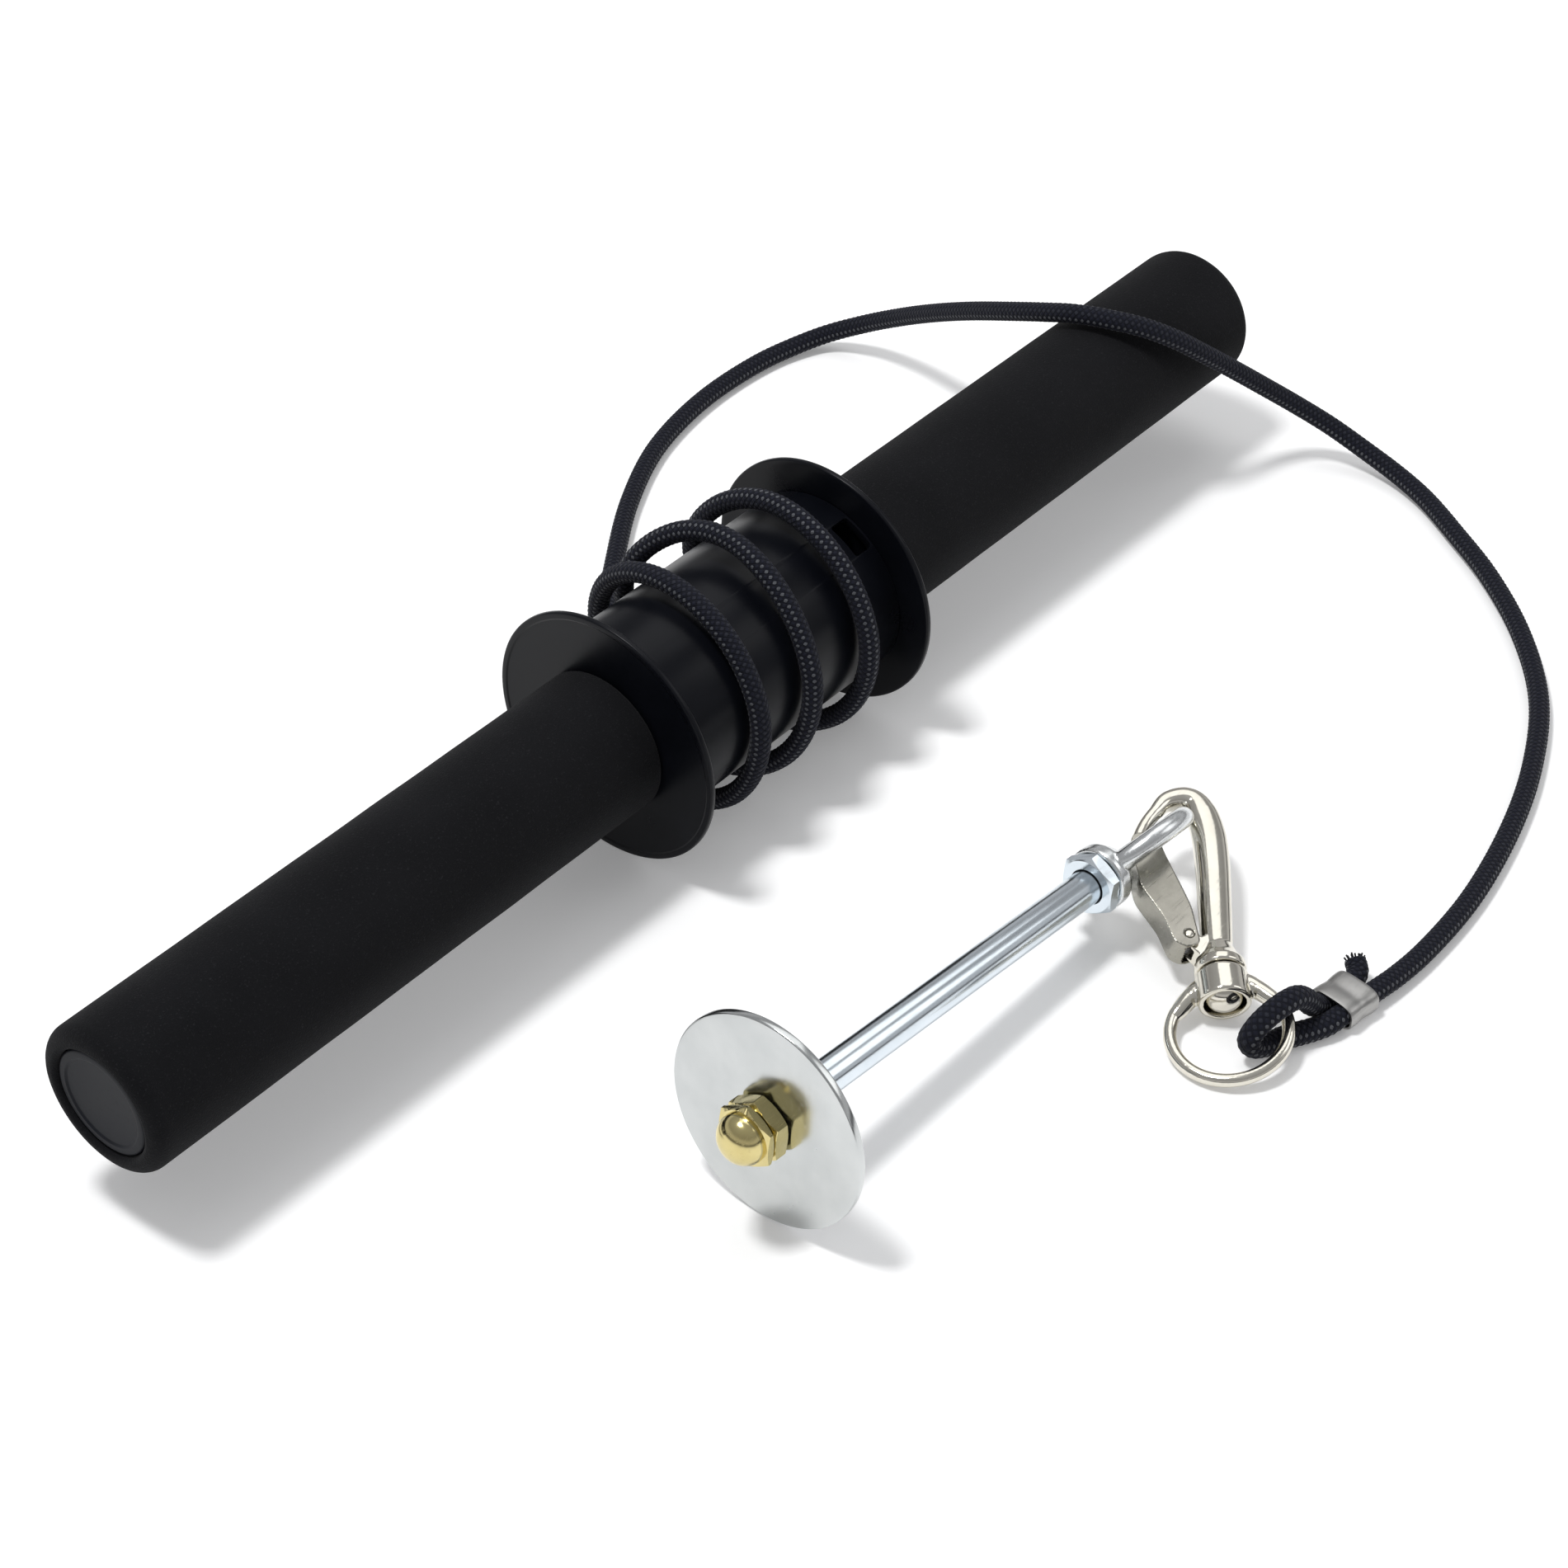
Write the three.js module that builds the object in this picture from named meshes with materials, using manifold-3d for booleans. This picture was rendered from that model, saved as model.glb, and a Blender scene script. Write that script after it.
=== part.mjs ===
// A wrist roller: a grip bar with a rope spool in its middle, a rope that ends in a swivel snap hook,
// and a loading pin with a round plate that hangs from the hook. It lies on a floor, as it is put down.
// Millimetres, +Z up. The bar runs along X. The whole part stands with the middle of its box over zero.

import * as THREE from 'three';
import { mergeVertices } from 'three/addons/utils/BufferGeometryUtils.js';
import Module from 'manifold-3d';

const wasm = await Module();
wasm.setup();

// Clearances
const slipGap = 0.3;
const seatGap = 0.3;
const overrun = 1;
const weldDistance = 0.0001;

// Facets
const gripSides = 48;
const turnedSides = 40;
const smallSides = 24;
const wireSides = 10;
const ringSteps = 40;
const hexSides = 6;
const arcSteps = 5;
const edgeSteps = 3;
const domeSteps = 6;
const curveSteps = 8;
const lumpSides = 16;
const lumpBands = 10;
const knotSides = 12;
const knotBands = 8;
const slotSteps = 4;

// Bar and grips
const foamWall = 5;
const gripLength = 150;
const gripEdgeRadius = 3.5;
const gripInnerEdge = 1;
const tubeDiameter = 25;
const tubeWall = 1.5;
const capRecess = 0.8;
const capHeadThickness = 2;
const capEdgeRadius = 1;
const capPlugLength = 12;
const capWall = 2;

// Spool
const spoolLength = 77.6;
const flangeDiameter = 62.6;
const flangeThickness = 1.5;
const flangeEdge = 0.4;
const hubLength = 3;
const hubWall = 1.8;
const drumDiameter = 46.6;
const drumWall = 2;
const bulkheadInset = 13;
const bulkheadThickness = 2;
const slotWidth = 5.6;
const slotLength = 9;
const slotInset = 3.4;
const slotAngle = 120;

// Rope
const ropeDiameter = 5;
const knotWidth = 6.8;
const knotLength = 9;
const knotSlack = 0.4;

// Turns on the drum
const turnPitch = 19.7;
const turnSway = 1.95;
const swayAngle = 145;
const turnDrift = 1.1;
const driftAngle = 690;
const driftShare = 0.6;
const turnSlack = 0.6;
const bottomLift = 2;
const backLifts = [0, 2.2, 3.8, 2.2];
const backAngle = 70;
const backShifts = [0, 6, 12, 0];
const shiftAngle = 15;
const exitBend = 3.4;
const settleAngle = 45;
const leaveShift = 4.2;
const leaveAngle = 80;
const lastAngle = 1350;
const stepsPerTurn = 24;
const woundSides = 6;

// Clamp on the rope
const clampLength = 9;
const clampWall = 0.5;
const clampX = 21.6;
const clampY = -158.5;
const clampHeading = -7;
const strandSpacing = 5.3;

// Swivel ring and post
const ringCentreDrop = 15.2;
const ringRadius = 12.65;
const ringWire = 3;
const bossDiameter = 11.8;
const bossLength = 7.7;
const shoulderDiameter = 4.6;
const shoulderLength = 9;
const headDiameter = 8.6;
const headEdge = 1.4;
const headDome = 2.6;
const headPocketDepth = 4.1;
const shankDiameter = 4.4;
const shankDepth = 4;

// Hook
const hookLength = 49;
const hookReach = 17;
const spineWidth = 7.8;
const hookDepth = 7;
const baseDiameter = 11.4;
const baseRim = 2;
const baseNeck = 7.6;
const baseNeckDiameter = 6.4;
const baseConeDiameter = 9;
const earThickness = 1;
const earDiameter = 5.2;
const pivotX = -6.8;
const pivotY = 8.2;
const gatePinDiameter = 2;

// The hook's middle line and half sizes in shares, from the base up the spine and round to the nose
const hookShares = [
  [-0.01, 0.1, 0.42, 0.46],
  [0.04, 0.35, 0.474, 0.5],
  [0.1, 0.633, 0.5, 0.5],
  [0.106, 0.788, 0.5, 0.5],
  [0.053, 0.908, 0.474, 0.48],
  [-0.035, 0.98, 0.385, 0.43],
  [-0.18, 1, 0.346, 0.4],
  [-0.406, 0.976, 0.282, 0.34],
  [-0.588, 0.904, 0.205, 0.27],
  [-0.747, 0.824, 0.192, 0.24],
  [-0.853, 0.743, 0.192, 0.23],
  [-0.888, 0.692, 0.167, 0.2],
];
const hookSteps = 33;
const hookSides = 14;
const squareShare = 0.8;

// Gate
const gateDepth = 6.7;
const gateSheet = 0.6;
const gateWidth = 8.2;
const gateLength = 27.6;
const gateLap = 2.6;

// The gate is a folded channel, its outline in shares of its width and length from the pivot
const gateShares = [
  [0.28, -0.09],
  [0.16, 0.28],
  [-0.06, 0.5],
  [-0.36, 0.78],
  [-0.5, 0.96],
  [-0.62, 1],
  [-1.08, 1],
  [-1.27, 0.94],
  [-1.28, 0.8],
  [-1.16, 0.45],
  [-0.64, 0.15],
  [-0.44, -0.09],
  [-0.1, -0.14],
];

// Gate spring
const springWire = 0.6;
const springDiameter = 4;
const springTurns = 3;
const springPitch = 0.65;
const springLeg = 5;
const springSteps = 8;
const springSides = 5;

// Loading pin
const rodDiameter = 8;
const threadDiameter = 6;
const plateDiameter = 49.2;
const plateThickness = 2;
const plateEdge = 0.3;
const plateRecess = 0.5;
const nutWidth = 13;
const hexNutHeight = 4;
const domeBaseHeight = 2;
const domeDiameter = 11.4;
const domeHeight = 4.6;
const domeRise = 0.3;
const domeBore = 5.2;
const jamNutWidth = 13;
const jamNutHeight = 3.2;
const eyeRadius = 12.75;
const eyeWire = 4.8;
const eyeCollarFace = 109.7;
const eyeRise = 14.7;
const eyeCollarDiameter = 14.8;
const eyeCollarHeight = 3;
const eyeNeckDiameter = 11;
const eyeNeckHeight = 6;
const eyeTurn = 54;

// Where the hook and the loading pin lie, measured from the spool's middle on the floor
const swivelPoint = [7.35, -135.8, 7.36];
const hookHeading = 42.1;
const hookPitch = 9.9;
const hookRoll = -8.8;
const ringRoll = 10;
const platePoint = [-102, -100.2, 24.6];
const pinHeading = -1;
const pinPitch = -4.7;

// The free rope's route, from the spool's middle on the floor
const freeRoute = [
  [-16.4, 5.4, 3],
  [-15.8, 11, 2.8],
  [-10, 21, 2.6],
  [8, 42, 2.5],
  [25, 57.5, 2.5],
  [42, 70, 2.5],
  [62, 83, 2.5],
  [84.2, 93.4, 2.5],
  [108.1, 98.5, 2.5],
  [130.5, 98.6, 2.5],
  [143, 96, 2.9],
  [151.5, 91.5, 4.5],
  [155.6, 82, 9.5],
  [155, 70, 16.8],
  [150.6, 55, 26.5],
  [146, 40, 35.5],
  [141.9, 25, 43.6],
  [140.5, 13.4, 48.8],
  [141, 4, 51.9],
  [144.4, -4.4, 51.9],
  [149.3, -11, 49.9],
  [155.4, -16.1, 45.7],
  [163.1, -20.1, 39.2],
  [172.1, -23.5, 31.4],
  [181, -27.6, 23.4],
  [188.5, -33, 16.3],
  [193.9, -40.5, 10.3],
  [196, -50, 5.9],
  [195.3, -61, 3.3],
  [191.9, -71.3, 2.5],
  [183.5, -86, 2.5],
  [174, -101.1, 2.5],
  [158.6, -119.7, 2.5],
  [139.4, -136.2, 2.5],
  [117.3, -147.8, 2.5],
  [94.9, -155.7, 2.5],
  [68, -161.6, 2.5],
  [46, -163.2, 2.6],
  [35, -162.8, 2.9],
  [26.1, -161.8, 3.3],
];
const freeSteps = 62;
const ropeSides = 8;

// The bight through the swivel ring, between the clamp's two strands
const bightRoute = [
  [14, -155.1, 5.4],
  [11, -154.9, 9],
  [8, -154.5, 11.4],
  [4.8, -154, 12.1],
  [1.2, -153.2, 11.6],
  [-2.6, -152.1, 9.6],
  [-4.6, -151.4, 6.6],
  [-3.6, -151.8, 4],
  [-0.2, -153.1, 2.75],
  [5.3, -155.3, 2.55],
  [10, -158, 2.6],
  [13.2, -159.7, 2.9],
];
const bightSteps = 28;

// The frayed end behind the clamp
const tailRoute = [
  [26.8, -156.5, 3.3],
  [28.8, -156.6, 3.4],
  [30.8, -155.8, 3.9],
  [32.2, -154.2, 4.7],
];
const tailSteps = 4;

// Sizes that follow from the ones above
const barLength = spoolLength + 2 * (seatGap + gripLength);
const gripDiameter = tubeDiameter + 2 * foamWall;
const tubeBore = tubeDiameter - 2 * tubeWall;
const tubeLength = barLength - 2 * (capRecess + capHeadThickness + seatGap);
const seatBore = tubeDiameter + 2 * slipGap;
const drumLength = spoolLength - 2 * (flangeThickness + seatGap);
const drumBore = drumDiameter - 2 * drumWall;
const slotPlace = drumLength / 2 - slotInset;
const bulkheadPlace = drumLength / 2 - bulkheadInset;
const knotHeight = drumBore / 2 - slipGap - seatBore / 2 - hubWall - knotSlack;
const axisHeight = flangeDiameter / 2;
const clampHeight = ropeDiameter + 2 * slipGap + 2 * clampWall;
const strandX = strandSpacing / 2;
const rodEnd = eyeCollarFace + eyeNeckHeight - seatGap;

// Finishes
function finish(color, roughness, metalness) {
  return new THREE.MeshStandardMaterial({ color, roughness, metalness });
}

const blackFoam = () => finish(0x1b1c1f, 0.95, 0);
const blackPlastic = () => finish(0x121316, 0.25, 0);
const capPlastic = () => finish(0x3a3b3e, 0.5, 0);
const blackCord = () => finish(0x1c1d24, 0.9, 0);
const tubeSteel = () => finish(0x8b8d90, 0.4, 1);
const clampSteel = () => finish(0x8f8c88, 0.4, 1);
const nickel = () => finish(0xc9c5b6, 0.25, 1);
const zinc = () => finish(0xb9c3c9, 0.3, 1);
const brass = () => finish(0xc9a84c, 0.25, 1);

// Solids
function solid(geometry) {
  const bare = geometry.clone();
  bare.deleteAttribute('normal');
  bare.deleteAttribute('uv');
  const merged = mergeVertices(bare, weldDistance);
  return new wasm.Manifold(new wasm.Mesh({
    numProp: 3,
    vertProperties: new Float32Array(merged.attributes.position.array),
    triVerts: new Uint32Array(merged.index.array),
  }));
}

function geometryOf(body) {
  const mesh = body.getMesh();
  const geometry = new THREE.BufferGeometry();
  geometry.setAttribute('position', new THREE.BufferAttribute(mesh.vertProperties, 3));
  geometry.setIndex(new THREE.BufferAttribute(mesh.triVerts, 1));
  geometry.computeVertexNormals();
  return geometry;
}

function join(...shapes) {
  return geometryOf(shapes.map(solid).reduce((whole, next) => whole.add(next)));
}

function cut(shape, ...tools) {
  return geometryOf(tools.map(solid).reduce((whole, next) => whole.subtract(next), solid(shape)));
}

// A round shape on the X axis from its outline of [place along X, radius] points, taken anticlockwise
function turned(outline, sides) {
  const points = outline.map(([along, radius]) => new THREE.Vector2(radius, along));
  const geometry = new THREE.LatheGeometry(points, sides);
  return geometry.rotateZ(-Math.PI / 2);
}

function ringOutline(from, to, inner, outer) {
  return [[from, inner], [from, outer], [to, outer], [to, inner], [from, inner]];
}

function rod(from, to, radius, sides) {
  return turned([[from, 0], [from, radius], [to, radius], [to, 0]], sides);
}

function arcPoints(alongCentre, radiusCentre, size, fromDegrees, toDegrees, steps) {
  const points = [];
  for (let i = 0; i <= steps; i += 1) {
    const angle = THREE.MathUtils.degToRad(fromDegrees + (toDegrees - fromDegrees) * i / steps);
    points.push([alongCentre + size * Math.cos(angle), radiusCentre + size * Math.sin(angle)]);
  }
  return points;
}

function hexBar(from, to, width) {
  const bar = new THREE.CylinderGeometry(width / Math.sqrt(3), width / Math.sqrt(3), to - from, hexSides);
  return bar.rotateZ(-Math.PI / 2).translate((from + to) / 2, 0, 0);
}

function flatBar(outline, bottom, top) {
  const shape = new THREE.Shape(outline.map(([x, y]) => new THREE.Vector2(x, y)));
  const bar = new THREE.ExtrudeGeometry(shape, { depth: top - bottom, bevelEnabled: false });
  return bar.translate(0, 0, bottom);
}

function uprightRod(x, y, radius, bottom, top) {
  const bar = new THREE.CylinderGeometry(radius, radius, top - bottom, smallSides);
  return bar.rotateX(Math.PI / 2).translate(x, y, (bottom + top) / 2);
}

function roundSection(radius, sides) {
  const shape = new THREE.Shape();
  for (let i = 0; i < sides; i += 1) {
    const angle = 2 * Math.PI * (i + 0.5) / sides;
    const x = radius * Math.cos(angle);
    const y = radius * Math.sin(angle);
    if (i === 0) shape.moveTo(x, y);
    else shape.lineTo(x, y);
  }
  shape.closePath();
  return shape;
}

function ropeAlong(route, steps) {
  const curve = new THREE.CatmullRomCurve3(route.map((point) => new THREE.Vector3(...point)));
  const section = roundSection(ropeDiameter / 2, ropeSides);
  return new THREE.ExtrudeGeometry(section, { steps, bevelEnabled: false, extrudePath: curve });
}

// A closed skin over rings of points that all have the same count
function skin(rings) {
  const count = rings[0].length;
  const positions = rings.flat().flatMap((point) => point.toArray());
  const faces = [];
  for (let i = 0; i + 1 < rings.length; i += 1) {
    for (let k = 0; k < count; k += 1) {
      const a = i * count + k;
      const b = i * count + (k + 1) % count;
      faces.push(a, b, a + count, b, b + count, a + count);
    }
  }
  const last = (rings.length - 1) * count;
  for (let k = 1; k + 1 < count; k += 1) {
    faces.push(0, k + 1, k);
    faces.push(last, last + k, last + k + 1);
  }
  const geometry = new THREE.BufferGeometry();
  geometry.setAttribute('position', new THREE.Float32BufferAttribute(positions, 3));
  geometry.setIndex(faces);
  geometry.computeVertexNormals();
  return geometry;
}

// A round tube along points, its section carried on from step to step without twisting
function tubeThrough(points, radius, sides) {
  const rings = [];
  let side = new THREE.Vector3(1, 0, 0);
  for (let i = 0; i < points.length; i += 1) {
    const before = points[Math.max(i - 1, 0)];
    const after = points[Math.min(i + 1, points.length - 1)];
    const along = after.clone().sub(before).normalize();
    side = side.clone().addScaledVector(along, -side.dot(along)).normalize();
    const up = along.clone().cross(side);
    const ring = [];
    for (let k = 0; k < sides; k += 1) {
      const angle = 2 * Math.PI * k / sides;
      const point = points[i].clone().addScaledVector(side, radius * Math.cos(angle));
      ring.push(point.addScaledVector(up, radius * Math.sin(angle)));
    }
    rings.push(ring);
  }
  return skin(rings);
}

function piece(name, geometry, material) {
  const mesh = new THREE.Mesh(geometry, material);
  mesh.name = name;
  return mesh;
}

// Bar and grips
function makeCoreTube() {
  const half = tubeLength / 2;
  const outline = ringOutline(-half, half, tubeBore / 2, tubeDiameter / 2);
  return piece('core_tube', turned(outline, turnedSides), tubeSteel());
}

function gripOutline() {
  const start = spoolLength / 2 + seatGap;
  const end = barLength / 2;
  const outer = gripDiameter / 2;
  const inner = seatBore / 2;
  return [
    [start, inner],
    [start, outer - gripInnerEdge],
    [start + gripInnerEdge, outer],
    ...arcPoints(end - gripEdgeRadius, outer - gripEdgeRadius, gripEdgeRadius, 90, 0, arcSteps),
    [end, inner],
    [start, inner],
  ];
}

// The near half of the bar is the far half turned about Z
function bothEnds(farName, nearName, makeShape, makeFinish) {
  const far = piece(farName, makeShape(), makeFinish());
  const near = piece(nearName, makeShape(), makeFinish());
  near.rotation.z = Math.PI;
  return [far, near];
}

function makeGrips() {
  return bothEnds('right_grip', 'left_grip', () => turned(gripOutline(), gripSides), blackFoam);
}

function capShape() {
  const face = barLength / 2 - capRecess;
  const head = face - capHeadThickness;
  const outer = tubeDiameter / 2;
  const plug = tubeBore / 2 - slipGap;
  const disc = turned([
    [head, 0],
    [head, outer],
    ...arcPoints(face - capEdgeRadius, outer - capEdgeRadius, capEdgeRadius, 90, 0, edgeSteps),
    [face, 0],
  ], turnedSides);
  const ring = ringOutline(head - capPlugLength, head + capEdgeRadius, plug - capWall, plug);
  return join(disc, turned(ring, turnedSides));
}

function makeCaps() {
  return bothEnds('right_end_cap', 'left_end_cap', capShape, capPlastic);
}

// Spool
function flangeShape() {
  const outside = spoolLength / 2;
  const inside = outside - flangeThickness;
  const hub = inside - hubLength;
  const bore = seatBore / 2;
  const rim = flangeDiameter / 2;
  return turned([
    [hub, bore],
    [hub, bore + hubWall],
    [inside, bore + hubWall],
    [inside, rim - flangeEdge],
    [inside + flangeEdge, rim],
    [outside - flangeEdge, rim],
    [outside, rim - flangeEdge],
    [outside, bore],
    [hub, bore],
  ], gripSides);
}

function makeFlanges() {
  return bothEnds('right_flange', 'left_flange', flangeShape, blackPlastic);
}

function drumBody() {
  const end = drumLength / 2;
  const outer = drumDiameter / 2;
  const inner = drumBore / 2;
  const bore = seatBore / 2;
  const near = bulkheadPlace;
  const far = bulkheadPlace + bulkheadThickness;
  return turned([
    [-end, inner],
    [-end, outer],
    [end, outer],
    [end, inner],
    [far, inner],
    [far, bore],
    [near, bore],
    [near, inner],
    [-near, inner],
    [-near, bore],
    [-far, bore],
    [-far, inner],
    [-end, inner],
  ], gripSides);
}

// One of two like slots through the drum's wall, opposite each other
function slotTool(degrees) {
  const depth = drumWall + 2 * overrun;
  const tool = new THREE.BoxGeometry(slotWidth, slotLength, depth);
  tool.translate(slotPlace, 0, drumDiameter / 2 - drumWall / 2);
  return tool.rotateX(THREE.MathUtils.degToRad(degrees - 90));
}

function makeDrum() {
  const shape = cut(drumBody(), slotTool(slotAngle), slotTool(slotAngle + 180));
  return piece('spool_drum', shape, blackPlastic());
}

// The stopper knot lies inside the drum, under the slot that the rope comes out of
function knotRadius() {
  return drumBore / 2 - slipGap - knotHeight / 2;
}

function makeKnot() {
  const knot = new THREE.SphereGeometry(1, knotSides, knotBands);
  knot.scale(knotWidth / 2, knotLength / 2, knotHeight / 2);
  knot.translate(slotPlace, 0, knotRadius());
  knot.rotateX(THREE.MathUtils.degToRad(slotAngle + 90));
  return piece('rope_knot', knot, blackCord());
}

function makeRoller() {
  const roller = new THREE.Group();
  roller.position.z = axisHeight;
  roller.add(makeCoreTube(), ...makeGrips(), ...makeCaps(), ...makeFlanges(), makeDrum(), makeKnot());
  return roller;
}

// The rope's turns: degrees run from the back over the top to the front
function smooth(share) {
  const held = Math.min(Math.max(share, 0), 1);
  return held * held * (3 - 2 * held);
}

function sideways(degrees, start) {
  const rad = THREE.MathUtils.degToRad;
  const sway = Math.sin(rad(degrees - swayAngle)) - Math.sin(rad(start - swayAngle));
  const drift = Math.cos(rad(driftShare * (degrees - driftAngle)))
    - Math.cos(rad(driftShare * (start - driftAngle)));
  const leaving = Math.max((degrees - lastAngle + leaveAngle) / leaveAngle, 0) ** 2;
  const pitched = turnPitch * (degrees - start) / 360;
  const wander = turnSway * sway + turnDrift * drift + leaveShift * leaving;
  return slotPlace - pitched + wander - leaning(degrees);
}

// How far a loose turn leans towards the near end behind the drum
function leaning(degrees) {
  const turn = Math.round((degrees - shiftAngle) / 360);
  const share = Math.max(Math.cos(THREE.MathUtils.degToRad(degrees - shiftAngle)), 0) ** 3;
  return (backShifts[turn] ?? 0) * share;
}

function turnRadius(degrees, start) {
  const rad = THREE.MathUtils.degToRad;
  const turn = Math.round((degrees - backAngle) / 360);
  const back = backLifts[Math.min(turn, backLifts.length - 1)];
  const backRise = back * Math.max(Math.cos(rad(degrees - backAngle)), 0) ** 2;
  const bottomRise = bottomLift * Math.max(-Math.sin(rad(degrees)), 0) ** 2;
  const settled = drumDiameter / 2 + ropeDiameter / 2 + turnSlack + backRise + bottomRise;
  return THREE.MathUtils.lerp(exitRadius(), settled, smooth((degrees - start) / settleAngle));
}

function knotTop() {
  return drumBore / 2 - slipGap + seatGap;
}

function exitRadius() {
  return knotTop() + ropeDiameter + exitBend;
}

function onDrum(x, degrees, radius) {
  const angle = THREE.MathUtils.degToRad(degrees);
  return new THREE.Vector3(x, radius * Math.cos(angle), axisHeight + radius * Math.sin(angle));
}

// The rope rises straight out of its slot and bends over onto the drum
function slotRun(start) {
  const first = slotAngle + 180;
  const points = [
    onDrum(slotPlace, first, knotTop()),
    onDrum(slotPlace, first, knotTop() + ropeDiameter / 2),
  ];
  for (let i = 0; i < slotSteps; i += 1) {
    const bend = Math.PI / 2 * i / slotSteps;
    const radius = knotTop() + ropeDiameter + exitBend * Math.sin(bend);
    const swing = (start - first) * (1 - Math.cos(bend));
    points.push(onDrum(slotPlace, first + swing, radius));
  }
  return points;
}

function woundPoints() {
  const bendAngle = THREE.MathUtils.radToDeg(exitBend / exitRadius());
  const start = slotAngle + 180 + bendAngle;
  const points = slotRun(start);
  const steps = Math.ceil((lastAngle - start) / 360 * stepsPerTurn);
  for (let i = 0; i <= steps; i += 1) {
    const degrees = start + (lastAngle - start) * i / steps;
    points.push(onDrum(sideways(degrees, start), degrees, turnRadius(degrees, start)));
  }
  const end = points[points.length - 1];
  const along = end.clone().sub(points[points.length - 2]);
  along.z = 0;
  along.normalize();
  points.push(end.clone().addScaledVector(along, ropeDiameter / 2));
  points.push(end.clone().addScaledVector(along, ropeDiameter));
  return points;
}

// The least gap between one turn and the next, taken between points half a turn or more apart
function leastTurnGap(points) {
  let least = Infinity;
  for (let i = 0; i < points.length; i += 1) {
    for (let k = i + stepsPerTurn / 2; k < points.length; k += 1) {
      least = Math.min(least, points[i].distanceTo(points[k]) - ropeDiameter);
    }
  }
  return least;
}

function makeWoundRope() {
  const points = woundPoints();
  console.log(`least gap between the rope's turns: ${leastTurnGap(points).toFixed(2)} mm`);
  return piece('rope_wound', tubeThrough(points, ropeDiameter / 2, woundSides), blackCord());
}

// Clamp, bight and tail
function clampPoint(along, across) {
  const angle = THREE.MathUtils.degToRad(clampHeading);
  return [
    clampX + along * Math.cos(angle) - across * Math.sin(angle),
    clampY + along * Math.sin(angle) + across * Math.cos(angle),
    clampHeight / 2,
  ];
}

function stadium(width, height) {
  const shape = new THREE.Shape();
  const half = (width - height) / 2;
  shape.absarc(half, 0, height / 2, -Math.PI / 2, Math.PI / 2, false);
  shape.absarc(-half, 0, height / 2, Math.PI / 2, 3 * Math.PI / 2, false);
  shape.closePath();
  return shape;
}

function makeClamp() {
  const innerHeight = clampHeight - 2 * clampWall;
  const innerWidth = innerHeight + strandSpacing;
  const sleeve = stadium(innerWidth + 2 * clampWall, clampHeight);
  sleeve.holes.push(stadium(innerWidth, innerHeight));
  const shape = new THREE.ExtrudeGeometry(sleeve, {
    depth: clampLength, bevelEnabled: false, curveSegments: curveSteps,
  });
  shape.translate(0, 0, -clampLength / 2);
  shape.rotateX(Math.PI / 2);
  shape.rotateZ(Math.PI / 2);
  const mesh = piece('ferrule', shape, clampSteel());
  mesh.rotation.z = THREE.MathUtils.degToRad(clampHeading);
  mesh.position.set(...clampPoint(0, 0));
  return mesh;
}

function makeBight() {
  const end = clampLength / 2;
  const route = [
    clampPoint(end, strandX),
    clampPoint(0, strandX),
    clampPoint(-end, strandX),
    ...bightRoute,
    clampPoint(-end, -strandX),
    clampPoint(0, -strandX),
    clampPoint(end, -strandX),
  ];
  return piece('rope_loop', ropeAlong(route, bightSteps), blackCord());
}

function makeFreeRope() {
  return piece('rope_free', ropeAlong(freeRoute, freeSteps), blackCord());
}

function makeTail() {
  return piece('rope_tail', ropeAlong(tailRoute, tailSteps), blackCord());
}

function makeRopeLine() {
  const line = new THREE.Group();
  line.add(makeWoundRope(), makeFreeRope(), makeBight(), makeTail(), makeClamp());
  return line;
}

// A group whose Y axis is the hook's long axis, lifted by the pitch and rolled about itself
function swivelFrame(rollDegrees) {
  const heading = THREE.MathUtils.degToRad(hookHeading);
  const pitch = THREE.MathUtils.degToRad(hookPitch);
  const roll = THREE.MathUtils.degToRad(rollDegrees);
  const along = new THREE.Vector3(
    Math.cos(heading) * Math.cos(pitch), Math.sin(heading) * Math.cos(pitch), Math.sin(pitch));
  const level = new THREE.Vector3(Math.sin(heading), -Math.cos(heading), 0);
  const up = level.clone().cross(along);
  const across = level.clone().multiplyScalar(Math.cos(roll)).addScaledVector(up, Math.sin(roll));
  const normal = across.clone().cross(along);
  const frame = new THREE.Group();
  frame.setRotationFromMatrix(new THREE.Matrix4().makeBasis(across, along, normal));
  frame.position.set(...swivelPoint);
  return frame;
}

// Round shapes on the Y axis
function turnedUp(outline, sides) {
  return turned(outline, sides).rotateZ(Math.PI / 2);
}

function uprightBar(from, to, radius) {
  return rod(from, to, radius, smallSides).rotateZ(Math.PI / 2);
}

// Swivel ring, centred on the swivel axis below the hook
function shoulder(side) {
  const lump = new THREE.SphereGeometry(1, lumpSides, lumpBands);
  lump.scale(shoulderDiameter / 2, shoulderLength / 2, shoulderDiameter / 2);
  const drop = ringCentreDrop - Math.sqrt(ringRadius ** 2 - (bossDiameter / 2) ** 2);
  return lump.rotateZ(side * Math.PI / 4).translate(side * bossDiameter / 2, -drop, 0);
}

function makeSwivelRing() {
  const wire = new THREE.TorusGeometry(ringRadius, ringWire / 2, wireSides, ringSteps);
  wire.translate(0, -ringCentreDrop, 0);
  const top = -seatGap;
  const bottom = top - bossLength;
  const boss = uprightBar(bottom, top, bossDiameter / 2);
  const body = join(wire, boss, shoulder(1), shoulder(-1));
  const pocketRadius = headDiameter / 2 + slipGap;
  const pocket = uprightBar(bottom - overrun, bottom + headPocketDepth, pocketRadius);
  const holeRadius = shankDiameter / 2 + slipGap;
  const hole = uprightBar(bottom, overrun, holeRadius);
  return piece('swivel_ring', cut(body, pocket, hole), nickel());
}

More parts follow.
